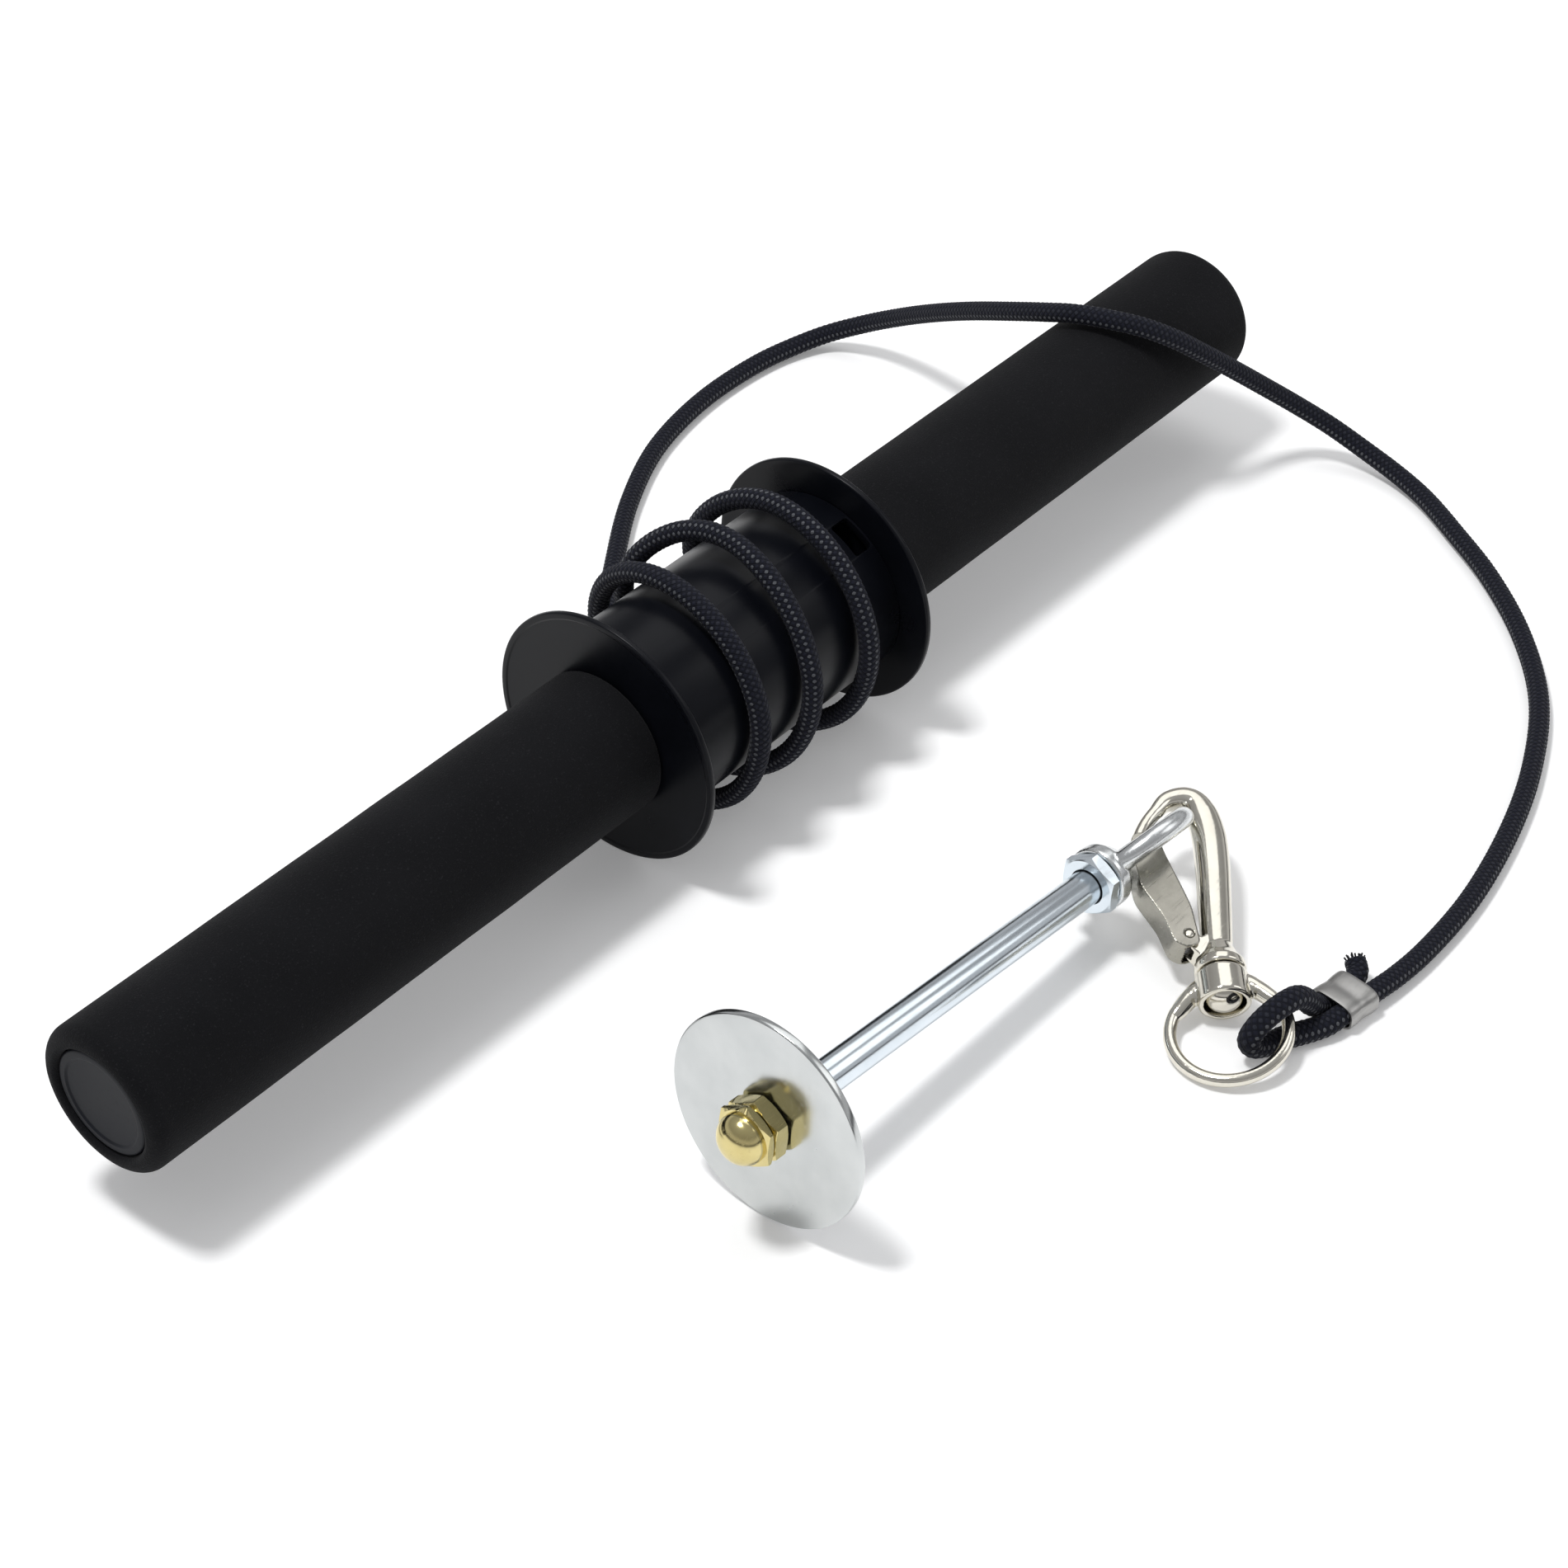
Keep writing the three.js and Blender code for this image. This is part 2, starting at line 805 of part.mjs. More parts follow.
function makeSwivelPost() {
  const seat = -bossLength + headPocketDepth - 2 * seatGap;
  const face = seat - headEdge;
  const head = headDiameter / 2;
  const shank = shankDiameter / 2;
  const dome = [];
  for (let i = 1; i < domeSteps; i += 1) {
    const angle = Math.PI / 2 * i / domeSteps;
    dome.push([face - headDome * Math.cos(angle), head * Math.sin(angle)]);
  }
  const outline = [
    [face - headDome, 0],
    ...dome,
    [face, head],
    [seat, head],
    [seat, shank],
    [shankDepth, shank],
    [shankDepth, 0],
  ];
  return piece('swivel_post', turnedUp(outline, smallSides), nickel());
}

// Hook
function shareAt(place, column) {
  const first = Math.min(Math.floor(place), hookShares.length - 2);
  return THREE.MathUtils.lerp(hookShares[first][column], hookShares[first + 1][column], place - first);
}

function squared(value) {
  return Math.sign(value) * Math.abs(value) ** squareShare;
}

function hookBar() {
  const middle = hookShares.map(([x, y]) => new THREE.Vector3(x * hookReach, y * hookLength, 0));
  const curve = new THREE.CatmullRomCurve3(middle);
  const rings = [];
  for (let i = 0; i <= hookSteps; i += 1) {
    const place = (hookShares.length - 1) * i / hookSteps;
    const centre = curve.getPoint(i / hookSteps);
    const along = curve.getTangent(i / hookSteps);
    const side = new THREE.Vector3(along.y, -along.x, 0);
    const ring = [];
    for (let k = 0; k < hookSides; k += 1) {
      const angle = 2 * Math.PI * (k + 0.5) / hookSides;
      const point = centre.clone();
      point.addScaledVector(side, spineWidth * shareAt(place, 2) * squared(Math.cos(angle)));
      point.z = hookDepth * shareAt(place, 3) * squared(Math.sin(angle));
      ring.push(point);
    }
    rings.push(ring.reverse());
  }
  return skin(rings);
}

function hookBase() {
  const foot = seatGap / 2;
  return turnedUp([
    [foot, 0],
    [foot, baseDiameter / 2],
    [foot + baseRim, baseDiameter / 2],
    [foot + 2 * baseRim, baseConeDiameter / 2],
    [baseNeck, baseNeckDiameter / 2],
    [baseNeck, 0],
  ], smallSides);
}

// Two ears carry the gate's pin, with the spring between them
function earOutline() {
  const radius = earDiameter / 2;
  const points = [];
  for (let i = 0; i <= curveSteps; i += 1) {
    const angle = Math.PI * i / curveSteps;
    points.push([pivotX - radius * Math.cos(angle), pivotY + radius * Math.sin(angle)]);
  }
  points.push([0, pivotY + radius]);
  points.push([0, baseRim]);
  points.push([pivotX / 2, baseRim]);
  return points.reverse();
}

function earBlock() {
  const outer = gateDepth / 2 - gateSheet - slipGap;
  return flatBar(earOutline(), -outer, outer);
}

// The pocket between the ears, open towards the gate
function springPocket() {
  const half = gateDepth / 2 - gateSheet - slipGap - earThickness;
  const reach = springDiameter / 2 + springWire + slipGap;
  return flatBar([
    [pivotX - earDiameter, pivotY - earDiameter],
    [pivotX + reach, pivotY - reach],
    [pivotX + reach, pivotY + earDiameter],
    [pivotX - earDiameter, pivotY + earDiameter],
  ], -half, half);
}

function makeHookBody() {
  const body = join(hookBar(), hookBase(), earBlock());
  const holeRadius = gatePinDiameter / 2 + slipGap / 2;
  const pinHole = uprightRod(pivotX, pivotY, holeRadius, -hookDepth, hookDepth);
  const shankRadius = shankDiameter / 2 + slipGap / 2;
  const shankEnd = shankDepth + slipGap;
  const shankHole = uprightBar(-overrun, shankEnd, shankRadius);
  return piece('hook_body', cut(body, springPocket(), pinHole, shankHole), nickel());
}

// Gate
function gateOutline(shift) {
  return gateShares.map(([x, y]) => [pivotX + x * gateWidth + shift, pivotY + y * gateLength]);
}

function makeGate() {
  const half = gateDepth / 2;
  const channel = half - gateSheet;
  const holeRadius = gatePinDiameter / 2 + slipGap / 2;
  const top = pivotY + gateLength;
  const outside = pivotX - 2 * gateWidth;
  const lap = flatBar([
    [outside, top - gateLap - overrun],
    [pivotX, top - gateLap - overrun],
    [pivotX, top + overrun],
    [outside, top + overrun],
  ], -channel, channel);
  const body = flatBar(gateOutline(0), -half, half);
  const inside = flatBar(gateOutline(gateSheet), -channel, channel);
  const hole = uprightRod(pivotX, pivotY, holeRadius, -hookDepth, hookDepth);
  return piece('gate', cut(body, inside, lap, hole), nickel());
}

function makeGatePin() {
  const half = gateDepth / 2;
  const pin = uprightRod(pivotX, pivotY, gatePinDiameter / 2, -half, half);
  return piece('gate_pin', pin, nickel());
}

// A wound spring on the pin, with one leg along the gate and one along the base
function springPoints() {
  const radius = springDiameter / 2;
  const depth = springTurns * springPitch;
  const points = [];
  const start = new THREE.Vector3(pivotX - radius, pivotY + springLeg, -depth / 2);
  points.push(start);
  const steps = springTurns * springSteps;
  for (let i = 0; i <= steps; i += 1) {
    const angle = Math.PI + 2 * Math.PI * i / springSteps;
    points.push(new THREE.Vector3(
      pivotX + radius * Math.cos(angle), pivotY + radius * Math.sin(angle), depth * (i / steps - 0.5)));
  }
  return points;
}

function makeGateSpring() {
  const shape = tubeThrough(springPoints(), springWire / 2, springSides);
  return piece('gate_spring', shape, tubeSteel());
}

function makeHook() {
  const hook = new THREE.Group();
  const turning = swivelFrame(hookRoll);
  const hanging = swivelFrame(ringRoll);
  turning.add(makeSwivelPost(), makeHookBody(), makeGate(), makeGatePin(), makeGateSpring());
  hanging.add(makeSwivelRing());
  hook.add(turning, hanging);
  return hook;
}

// Loading pin: its own X axis runs from the plate to the eye
function makeRod() {
  const shoulderFace = plateThickness / 2 - plateRecess + seatGap;
  const threadEnd = -plateThickness / 2 - hexNutHeight - domeBaseHeight - 2 * seatGap;
  const outline = [
    [threadEnd, 0],
    [threadEnd, threadDiameter / 2],
    [shoulderFace, threadDiameter / 2],
    [shoulderFace, rodDiameter / 2],
    [rodEnd, rodDiameter / 2],
    [rodEnd, 0],
  ];
  return piece('load_rod', turned(outline, turnedSides), zinc());
}

function makePlate() {
  const half = plateThickness / 2;
  const rim = plateDiameter / 2;
  const bore = threadDiameter / 2 + slipGap;
  const seat = rodDiameter / 2 + slipGap;
  return piece('plate_disc', turned([
    [-half, bore],
    [-half, rim - plateEdge],
    [plateEdge - half, rim],
    [half - plateEdge, rim],
    [half, rim - plateEdge],
    [half, seat],
    [half - plateRecess, seat],
    [half - plateRecess, bore],
    [-half, bore],
  ], gripSides), zinc());
}

function bored(shape, from, to, radius) {
  return cut(shape, rod(from, to, radius, smallSides));
}

function makeHexNut() {
  const to = -plateThickness / 2 - seatGap;
  const from = to - hexNutHeight;
  const bore = threadDiameter / 2 + slipGap;
  const shape = bored(hexBar(from, to, nutWidth), from - overrun, to + overrun, bore);
  return piece('hex_nut', shape, brass());
}

function makeDomeNut() {
  const to = -plateThickness / 2 - hexNutHeight - 2 * seatGap;
  const from = to - domeBaseHeight;
  const radius = domeDiameter / 2;
  const neck = from - domeRise;
  const outline = [[neck - domeHeight, 0]];
  for (let i = 1; i <= domeSteps; i += 1) {
    const angle = Math.PI / 2 * i / domeSteps;
    outline.push([neck - domeHeight * Math.cos(angle), radius * Math.sin(angle)]);
  }
  outline.push([to - domeBaseHeight / 2, radius], [to - domeBaseHeight / 2, 0]);
  const shape = join(hexBar(from, to, nutWidth), turned(outline, smallSides));
  const bore = bored(shape, to - domeBore, to + overrun, threadDiameter / 2 + slipGap);
  return piece('dome_nut', bore, brass());
}

function makeJamNut() {
  const to = eyeCollarFace - seatGap;
  const from = to - jamNutHeight;
  const bore = rodDiameter / 2 + slipGap;
  const shape = bored(hexBar(from, to, jamNutWidth), from - overrun, to + overrun, bore);
  return piece('jam_nut', shape, zinc());
}

function makeEyeNut() {
  const ring = new THREE.TorusGeometry(eyeRadius, eyeWire / 2, wireSides, ringSteps);
  ring.rotateX(-THREE.MathUtils.degToRad(eyeTurn)).translate(eyeCollarFace + eyeRise, 0, 0);
  const collarEnd = eyeCollarFace + eyeCollarHeight;
  const neckEnd = eyeCollarFace + eyeNeckHeight;
  const collar = turned([
    [eyeCollarFace, 0],
    [eyeCollarFace, eyeCollarDiameter / 2],
    [collarEnd, eyeCollarDiameter / 2],
    [neckEnd, eyeNeckDiameter / 2],
    [neckEnd, 0],
  ], smallSides);
  const from = eyeCollarFace - overrun;
  const to = neckEnd + overrun;
  const shape = bored(join(ring, collar), from, to, rodDiameter / 2 + slipGap);
  return piece('eye_nut', shape, zinc());
}

function makeLoadingPin() {
  const pin = new THREE.Group();
  pin.rotation.order = 'ZYX';
  pin.rotation.z = THREE.MathUtils.degToRad(pinHeading);
  pin.rotation.y = -THREE.MathUtils.degToRad(pinPitch);
  pin.position.set(...platePoint);
  pin.add(makeRod(), makePlate(), makeHexNut(), makeDomeNut(), makeJamNut(), makeEyeNut());
  return pin;
}

// The whole, moved so that the middle of the box round its rigid pieces is over zero, on the floor
function rigidBox(...groups) {
  const box = new THREE.Box3();
  for (const member of groups) {
    member.updateMatrixWorld(true);
    box.expandByObject(member, true);
  }
  return box;
}

function assemble() {
  const roller = makeRoller();
  const hook = makeHook();
  const pin = makeLoadingPin();
  const middle = rigidBox(roller, hook, pin).getCenter(new THREE.Vector3());
  const whole = new THREE.Group();
  whole.add(roller, makeRopeLine(), hook, pin);
  whole.position.set(-middle.x, -middle.y, 0);
  return whole;
}

const group = assemble();

export default group;
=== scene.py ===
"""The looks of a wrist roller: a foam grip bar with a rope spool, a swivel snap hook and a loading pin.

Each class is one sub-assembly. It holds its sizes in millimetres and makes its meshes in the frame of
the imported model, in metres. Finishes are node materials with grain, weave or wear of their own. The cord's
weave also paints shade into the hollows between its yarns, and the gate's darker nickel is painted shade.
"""

import logging
import math
from dataclasses import dataclass
from enum import Enum

import bmesh
import bpy
import numpy as np
from mathutils import Matrix, Vector


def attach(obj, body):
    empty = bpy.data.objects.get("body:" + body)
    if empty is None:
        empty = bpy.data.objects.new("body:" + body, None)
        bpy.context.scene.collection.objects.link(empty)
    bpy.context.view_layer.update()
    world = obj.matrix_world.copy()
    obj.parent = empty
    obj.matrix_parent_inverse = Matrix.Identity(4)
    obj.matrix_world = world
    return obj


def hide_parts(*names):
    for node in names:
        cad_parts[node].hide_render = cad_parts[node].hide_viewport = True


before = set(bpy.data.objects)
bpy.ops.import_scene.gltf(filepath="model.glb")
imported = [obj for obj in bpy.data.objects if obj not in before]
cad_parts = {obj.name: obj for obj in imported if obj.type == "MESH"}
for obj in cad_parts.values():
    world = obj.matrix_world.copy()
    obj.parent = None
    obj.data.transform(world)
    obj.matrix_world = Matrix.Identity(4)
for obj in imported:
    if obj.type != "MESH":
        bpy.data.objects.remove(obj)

logging.basicConfig(level=logging.INFO, format="%(message)s")
log = logging.getLogger("wrist_roller")

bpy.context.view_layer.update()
MM = 0.001
SHIFT = np.array([0.0, 64.3291, 0.0])
AXIS_HEIGHT = 31.3
GAP = 0.3
BRAID_YARNS = 4
BRAID_PLAIT = 2.9
CORD_MAP = "cord_map"
FULL_TURN = 2 * math.pi

Point = tuple[float, float, float]
Color = tuple[float, float, float]
Outline = list[tuple[float, float]]
Thing = bpy.types.Object
Tree = bpy.types.NodeTree
Node = bpy.types.Node
Socket = bpy.types.NodeSocket


class Body(str, Enum):
    """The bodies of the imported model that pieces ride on."""

    ROPE = "rope_line"
    ROLLER = "roller"
    RING = "ring"
    HOOK = "hook"
    GATE = "gate_lever"
    PIN = "loading_pin"


class Slot(str, Enum):
    """The record's material slots."""

    FOAM = "black_foam"
    PLASTIC = "black_plastic"
    CAP = "grey_plastic"
    CORD = "black_cord"
    TUBE = "tube_steel"
    CLAMP = "clamp_steel"
    NICKEL = "nickel_plate"
    ZINC = "zinc_plate"
    BRASS = "brass"


class Look(str, Enum):
    """Finishes of single pieces that differ from their slot's own."""

    DISC = "disc_coat"
    FORGED = "forged_coat"
    # A darker copy of the nickel plate for the gate: painted shade.
    SHADED_NICKEL = "shaded_nickel_coat"


class Effect(str, Enum):
    """Shader effects that finishes share."""

    GRAIN = "grain"
    SCUFFS = "scuffs"
    BRAID = "braid"


# Shaders


class Wiring:
    """Adds nodes to one shader tree and joins them."""

    def __init__(self, tree: Tree) -> None:
        """Takes the tree that it wires."""
        self.tree = tree

    def give(self, socket: Socket, value: object) -> None:
        """Gives an input a plain value, or joins another socket to it.

        Args:
            socket: The input.
            value: Its value, or the socket that feeds it.
        """
        if isinstance(value, Socket):
            self.tree.links.new(value, socket)
        else:
            socket.default_value = value

    def feed(self, node: Node, **inputs: object) -> Node:
        """Gives a node's inputs their values or sockets.

        Args:
            node: The node.
            inputs: What goes in, by the input's name with underscores for spaces.

        Returns:
            The node.
        """
        for name, value in inputs.items():
            self.give(node.inputs[name.replace("_", " ")], value)
        return node

    def node(self, kind: str, **inputs: object) -> Node:
        """Adds a node of a kind and feeds it."""
        return self.feed(self.tree.nodes.new(kind), **inputs)

    def math(self, operation: str, *values: float | Socket, clamp: bool = False) -> Socket:
        """Adds a Math node.

        Args:
            operation: What it works out.
            values: Its inputs, each a number or a socket.
            clamp: Whether the result is held between 0 and 1.

        Returns:
            Its output.
        """
        node = self.node("ShaderNodeMath")
        node.operation = operation
        node.use_clamp = clamp
        for socket, value in zip(node.inputs, values):
            self.give(socket, value)
        return node.outputs[0]

    def noise(self, place: Socket, scale: float | Socket, detail: float, rough: float) -> Socket:
        """Adds a noise with a count of octaves and the strength of the fine ones."""
        return self.node("ShaderNodeTexNoise", Vector=place, Scale=scale, Detail=detail, Roughness=rough).outputs[0]

    def mix(self, factor: Socket, dark: object, light: Color) -> Socket:
        """Mixes two colours.

        Args:
            factor: The share of the second one.
            dark: The first colour, plain or a socket.
            light: The second colour.

        Returns:
            The mixed colour.
        """
        node = self.node("ShaderNodeMix")
        node.data_type = "RGBA"
        dark = (*dark, 1.0) if isinstance(dark, tuple) else dark
        return self.feed(node, Factor=factor, A=dark, B=(*light, 1.0)).outputs["Result"]

    def spread(self, value: Socket, low: float, high: float) -> Socket:
        """Maps a noise, which lies mostly between 0.25 and 0.75, to a range."""
        ends = {"From_Min": 0.25, "From_Max": 0.75, "To_Min": low, "To_Max": high}
        return self.node("ShaderNodeMapRange", Value=value, **ends).outputs[0]


class ShaderKit:
    """Builds each shared effect once, as a node group with named sockets."""

    speck_level = 0.63
    streak_level = 0.58
    streak_gain = 7.0
    dash_level = 0.5
    row_level = 0.7
    side_dashes = 0.15
    fibres = 5.0
    fibre_height = 0.12
    pores = (3.0, 0.65)
    clouds = (4.0, 0.6)
    soft = (2.0, 0.5)
    line_fineness = 14.0
    wave_fineness = 2.0

    def __init__(self) -> None:
        """Starts with no effect built."""
        self.groups: dict[Effect, Tree] = {}

    def group(self, effect: Effect) -> Tree:
        """Returns an effect's group, built at its first use.

        Args:
            effect: The effect.

        Returns:
            Its node tree, with a socket for each input and each result.
        """
        if effect not in self.groups:
            labels, recipe = {
                Effect.GRAIN: (("Fine Scale", "Patch Scale"), self.grain),
                Effect.SCUFFS: (("Scale", "Stretch"), self.scuffs),
                Effect.BRAID: (("Yarns", "Plaits"), self.braid),
            }[effect]
            tree = self.groups[effect] = bpy.data.node_groups.new(effect.value, "ShaderNodeTree")
            for label in labels:
                tree.interface.new_socket(label, in_out="INPUT", socket_type="NodeSocketFloat")
            wires = Wiring(tree)
            results = recipe(wires, *wires.node("NodeGroupInput").outputs[: len(labels)])
            for label in results:
                tree.interface.new_socket(label, in_out="OUTPUT", socket_type="NodeSocketFloat")
            wires.feed(wires.node("NodeGroupOutput"), **results)
        return self.groups[effect]

    def grain(self, wires: Wiring, fine_scale: Socket, patch_scale: Socket) -> dict[str, Socket]:
        """Lays fine pores over broad, soft patches.

        Args:
            wires: The group's wiring.
            fine_scale: How fine the pores are.
            patch_scale: How fine the patches are.

        Returns:
            Height for a bump, Patch for the colour and Speck for pale cells.
        """
        place = wires.node("ShaderNodeTexCoord").outputs["Object"]
        fine = wires.noise(place, fine_scale, *self.pores)
        speck = wires.math("GREATER_THAN", fine, self.speck_level)
        return {"Height": fine, "Patch": wires.noise(place, patch_scale, *self.soft), "Speck": speck}

    def scuffs(self, wires: Wiring, scale: Socket, stretch: Socket) -> dict[str, Socket]:
        """Lays marks of handling and making on a hard surface.

        Args:
            wires: The group's wiring.
            scale: How fine the marks are.
            stretch: How long the hairlines are along X.

        Returns:
            Haze where it is dulled, Line for hairlines and Height for its unevenness.
        """
        place = wires.node("ShaderNodeTexCoord").outputs["Object"]
        x, y, z = wires.node("ShaderNodeSeparateXYZ", Vector=place).outputs
        drawn = wires.node("ShaderNodeCombineXYZ", X=wires.math("DIVIDE", x, stretch), Y=y, Z=z).outputs[0]
        streak = wires.noise(drawn, wires.math("MULTIPLY", scale, self.line_fineness), *self.soft)
        above = wires.math("SUBTRACT", streak, self.streak_level)
        return {
            "Haze": wires.noise(place, scale, *self.clouds),
            "Line": wires.math("MULTIPLY", above, self.streak_gain, clamp=True),
            "Height": wires.noise(place, wires.math("MULTIPLY", scale, self.wave_fineness), *self.soft),
        }

    def braid(self, wires: Wiring, yarns: Socket, plaits: Socket) -> dict[str, Socket]:
        """Weaves a braided sleeve on the cord's own map.

        Args:
            wires: The group's wiring.
            yarns: How many bundles of yarn run each way round.
            plaits: How many plaits there are in a metre.

        Returns:
            Height for a bump, a painted shade from the same height, darker in the hollows between bundles and lighter
            on their crowns, and Tracer for the rows of light dashes.
        """
        cord_map = wires.node("ShaderNodeUVMap")
        cord_map.uv_map = CORD_MAP
        share, along, _ = wires.node("ShaderNodeSeparateXYZ", Vector=cord_map.outputs[0]).outputs
        round_way, long_way = wires.math("MULTIPLY", share, yarns), wires.math("MULTIPLY", along, plaits)
        left = wires.math("ADD", round_way, long_way)
        right = wires.math("SUBTRACT", round_way, long_way)
        waves = [wires.math("SINE", wires.math("MULTIPLY", way, FULL_TURN)) for way in (left, right)]
        crossing = wires.math("MULTIPLY", *waves)
        height = wires.math("ABSOLUTE", crossing)
        fibre = wires.math("SINE", wires.math("MULTIPLY", left, FULL_TURN * self.fibres))
        side = wires.math("ABSOLUTE", wires.math("COSINE", wires.math("MULTIPLY", share, FULL_TURN)))
        row = wires.math("GREATER_THAN", side, self.row_level)
        rows = wires.math("MULTIPLY_ADD", row, 1.0 - self.side_dashes, self.side_dashes)
        dash = wires.math("GREATER_THAN", crossing, self.dash_level)
        # The weave's height is also handed out as colour: painted shade in the hollows and painted light on the
        # crowns.
        return {
            "Height": wires.math("MULTIPLY_ADD", fibre, self.fibre_height, height),
            "HollowShade": height,
            "Tracer": wires.math("MULTIPLY", rows, dash),
        }


KIT = ShaderKit()


# Finishes


@dataclass(frozen=True)
class Finish:
    """What every finish has: a name and the values that are the same all over."""

    name: str
    color: Color
    rough: float
    metal: float = 0.0
    specular: float = 0.5
    sheen: float = 0.0

    def build(self) -> bpy.types.Material:
        """Puts plain values on the shader's own sockets, then adds what varies.

        Returns:
            The material.
        """
        material = bpy.data.materials.new(self.name)
        material.use_nodes = True
        wires = Wiring(material.node_tree)
        plain = {"Metallic": self.metal, "Specular_IOR_Level": self.specular, "Sheen_Weight": self.sheen}
        shader = wires.feed(wires.tree.nodes["Principled BSDF"], Roughness=self.rough, **plain)
        wires.feed(shader, **self.vary(wires))
        return material

    def vary(self, wires: Wiring) -> dict[str, Socket]:
        """Returns the shader's inputs that change over the surface."""
        raise NotImplementedError

    @staticmethod
    def effect(wires: Wiring, effect: Effect, **inputs: float) -> bpy.types.NodeOutputs:
        """Places a shared effect in the material.

        Args:
            wires: The material's wiring.
            effect: The effect.
            inputs: Its inputs by name.

        Returns:
            Its outputs.
        """
        node = wires.node("ShaderNodeGroup")
        node.node_tree = KIT.group(effect)
        return wires.feed(node, **inputs).outputs

    @staticmethod
    def bump(wires: Wiring, height: Socket, strength: float, depth: float) -> Socket:
        """Turns a height into a normal, by its strength and its depth in metres."""
        return wires.node("ShaderNodeBump", Height=height, Strength=strength, Distance=depth).outputs[0]


@dataclass(frozen=True)
class FoamFinish(Finish):
    """Closed-cell foam: matte, with pores, pale specks and soft patches."""

    specular: float = 0.12
    sheen: float = 0.03
    patch_color: Color = (0.0072, 0.0074, 0.0088)
    speck_color: Color = (0.016, 0.016, 0.018)

    def vary(self, wires: Wiring) -> dict[str, Socket]:
        """Lays the patches, the specks and the pores.

        Args:
            wires: The material's wiring.

        Returns:
            The inputs by name, and what feeds them.
        """
        grain = self.effect(wires, Effect.GRAIN, Fine_Scale=2300.0, Patch_Scale=45.0)
        base = wires.mix(wires.spread(grain["Patch"], 0.0, 1.0), self.color, self.patch_color)
        color = wires.mix(grain["Speck"], base, self.speck_color)
        return {"Base_Color": color, "Normal": self.bump(wires, grain["Height"], 0.8, 0.00025)}


@dataclass(frozen=True)
class CordFinish(Finish):
    """Braided cord: painted shade, darker in the hollows between yarn bundles and lighter on their crowns, and rows of
    pale dashes.
    """

    specular: float = 0.16
    sheen: float = 0.04
    # Colour of the bundles' crowns, with the plain colour left in the hollows: painted light and shade from the
    # weave's height.
    crown_highlight_color: Color = (0.0112, 0.0125, 0.023)
    tracer_color: Color = (0.12, 0.125, 0.136)

    def vary(self, wires: Wiring) -> dict[str, Socket]:
        """Lays the painted shade of the weave, the dashes and the weave's height.

        Args:
            wires: The material's wiring.

        Returns:
            The inputs by name, and what feeds them.
        """
        braid = self.effect(wires, Effect.BRAID, Yarns=BRAID_YARNS, Plaits=1 / (BRAID_PLAIT * MM))
        grain = self.effect(wires, Effect.GRAIN, Fine_Scale=3200.0, Patch_Scale=35.0)
        # Painted shade: the weave's height darkens the hollows between bundles and lightens their crowns.
        base = wires.mix(braid["HollowShade"], self.color, self.crown_highlight_color)
        share = wires.math("MULTIPLY", braid["Tracer"], wires.spread(grain["Height"], 0.4, 1.0))
        height = wires.math("MULTIPLY_ADD", grain["Height"], 0.3, braid["Height"])
        color = wires.mix(share, base, self.tracer_color)
        return {"Base_Color": color, "Normal": self.bump(wires, height, 0.9, 0.00022)}


@dataclass(frozen=True)
class HardFinish(Finish):
    """A hard, even skin with haze, hairlines and a slight unevenness. The tint shows in the haze."""

    tint: Color = (0.5, 0.5, 0.5)
    dull: float = 0.1
    lines: float = 0.12
    scale: float = 110.0
    stretch: float = 10.0
    wave: float = 0.00003
    relief: float = 0.4

    def vary(self, wires: Wiring) -> dict[str, Socket]:
        """Lays the haze, the hairlines and the unevenness.

        Args:
            wires: The material's wiring.

        Returns:
            The inputs by name, and what feeds them.
        """
        marks = self.effect(wires, Effect.SCUFFS, Scale=self.scale, Stretch=self.stretch)
        gloss = wires.spread(marks["Haze"], self.rough, self.rough + self.dull)
        return {
            "Base_Color": wires.mix(wires.spread(marks["Haze"], 0.0, 1.0), self.color, self.tint),
            "Roughness": wires.math("MULTIPLY_ADD", marks["Line"], self.lines, gloss),
            "Normal": self.bump(wires, marks["Height"], self.relief, self.wave),
        }


@dataclass(frozen=True)
class MouldedFinish(HardFinish):
    """Moulded plastic, of even gloss."""

    dull: float = 0.08
    lines: float = 0.03
    scale: float = 70.0
    stretch: float = 6.0
    wave: float = 0.000012
    relief: float = 0.35


@dataclass(frozen=True)
class PlateFinish(HardFinish):
    """Plated or turned metal."""

    metal: float = 1.0


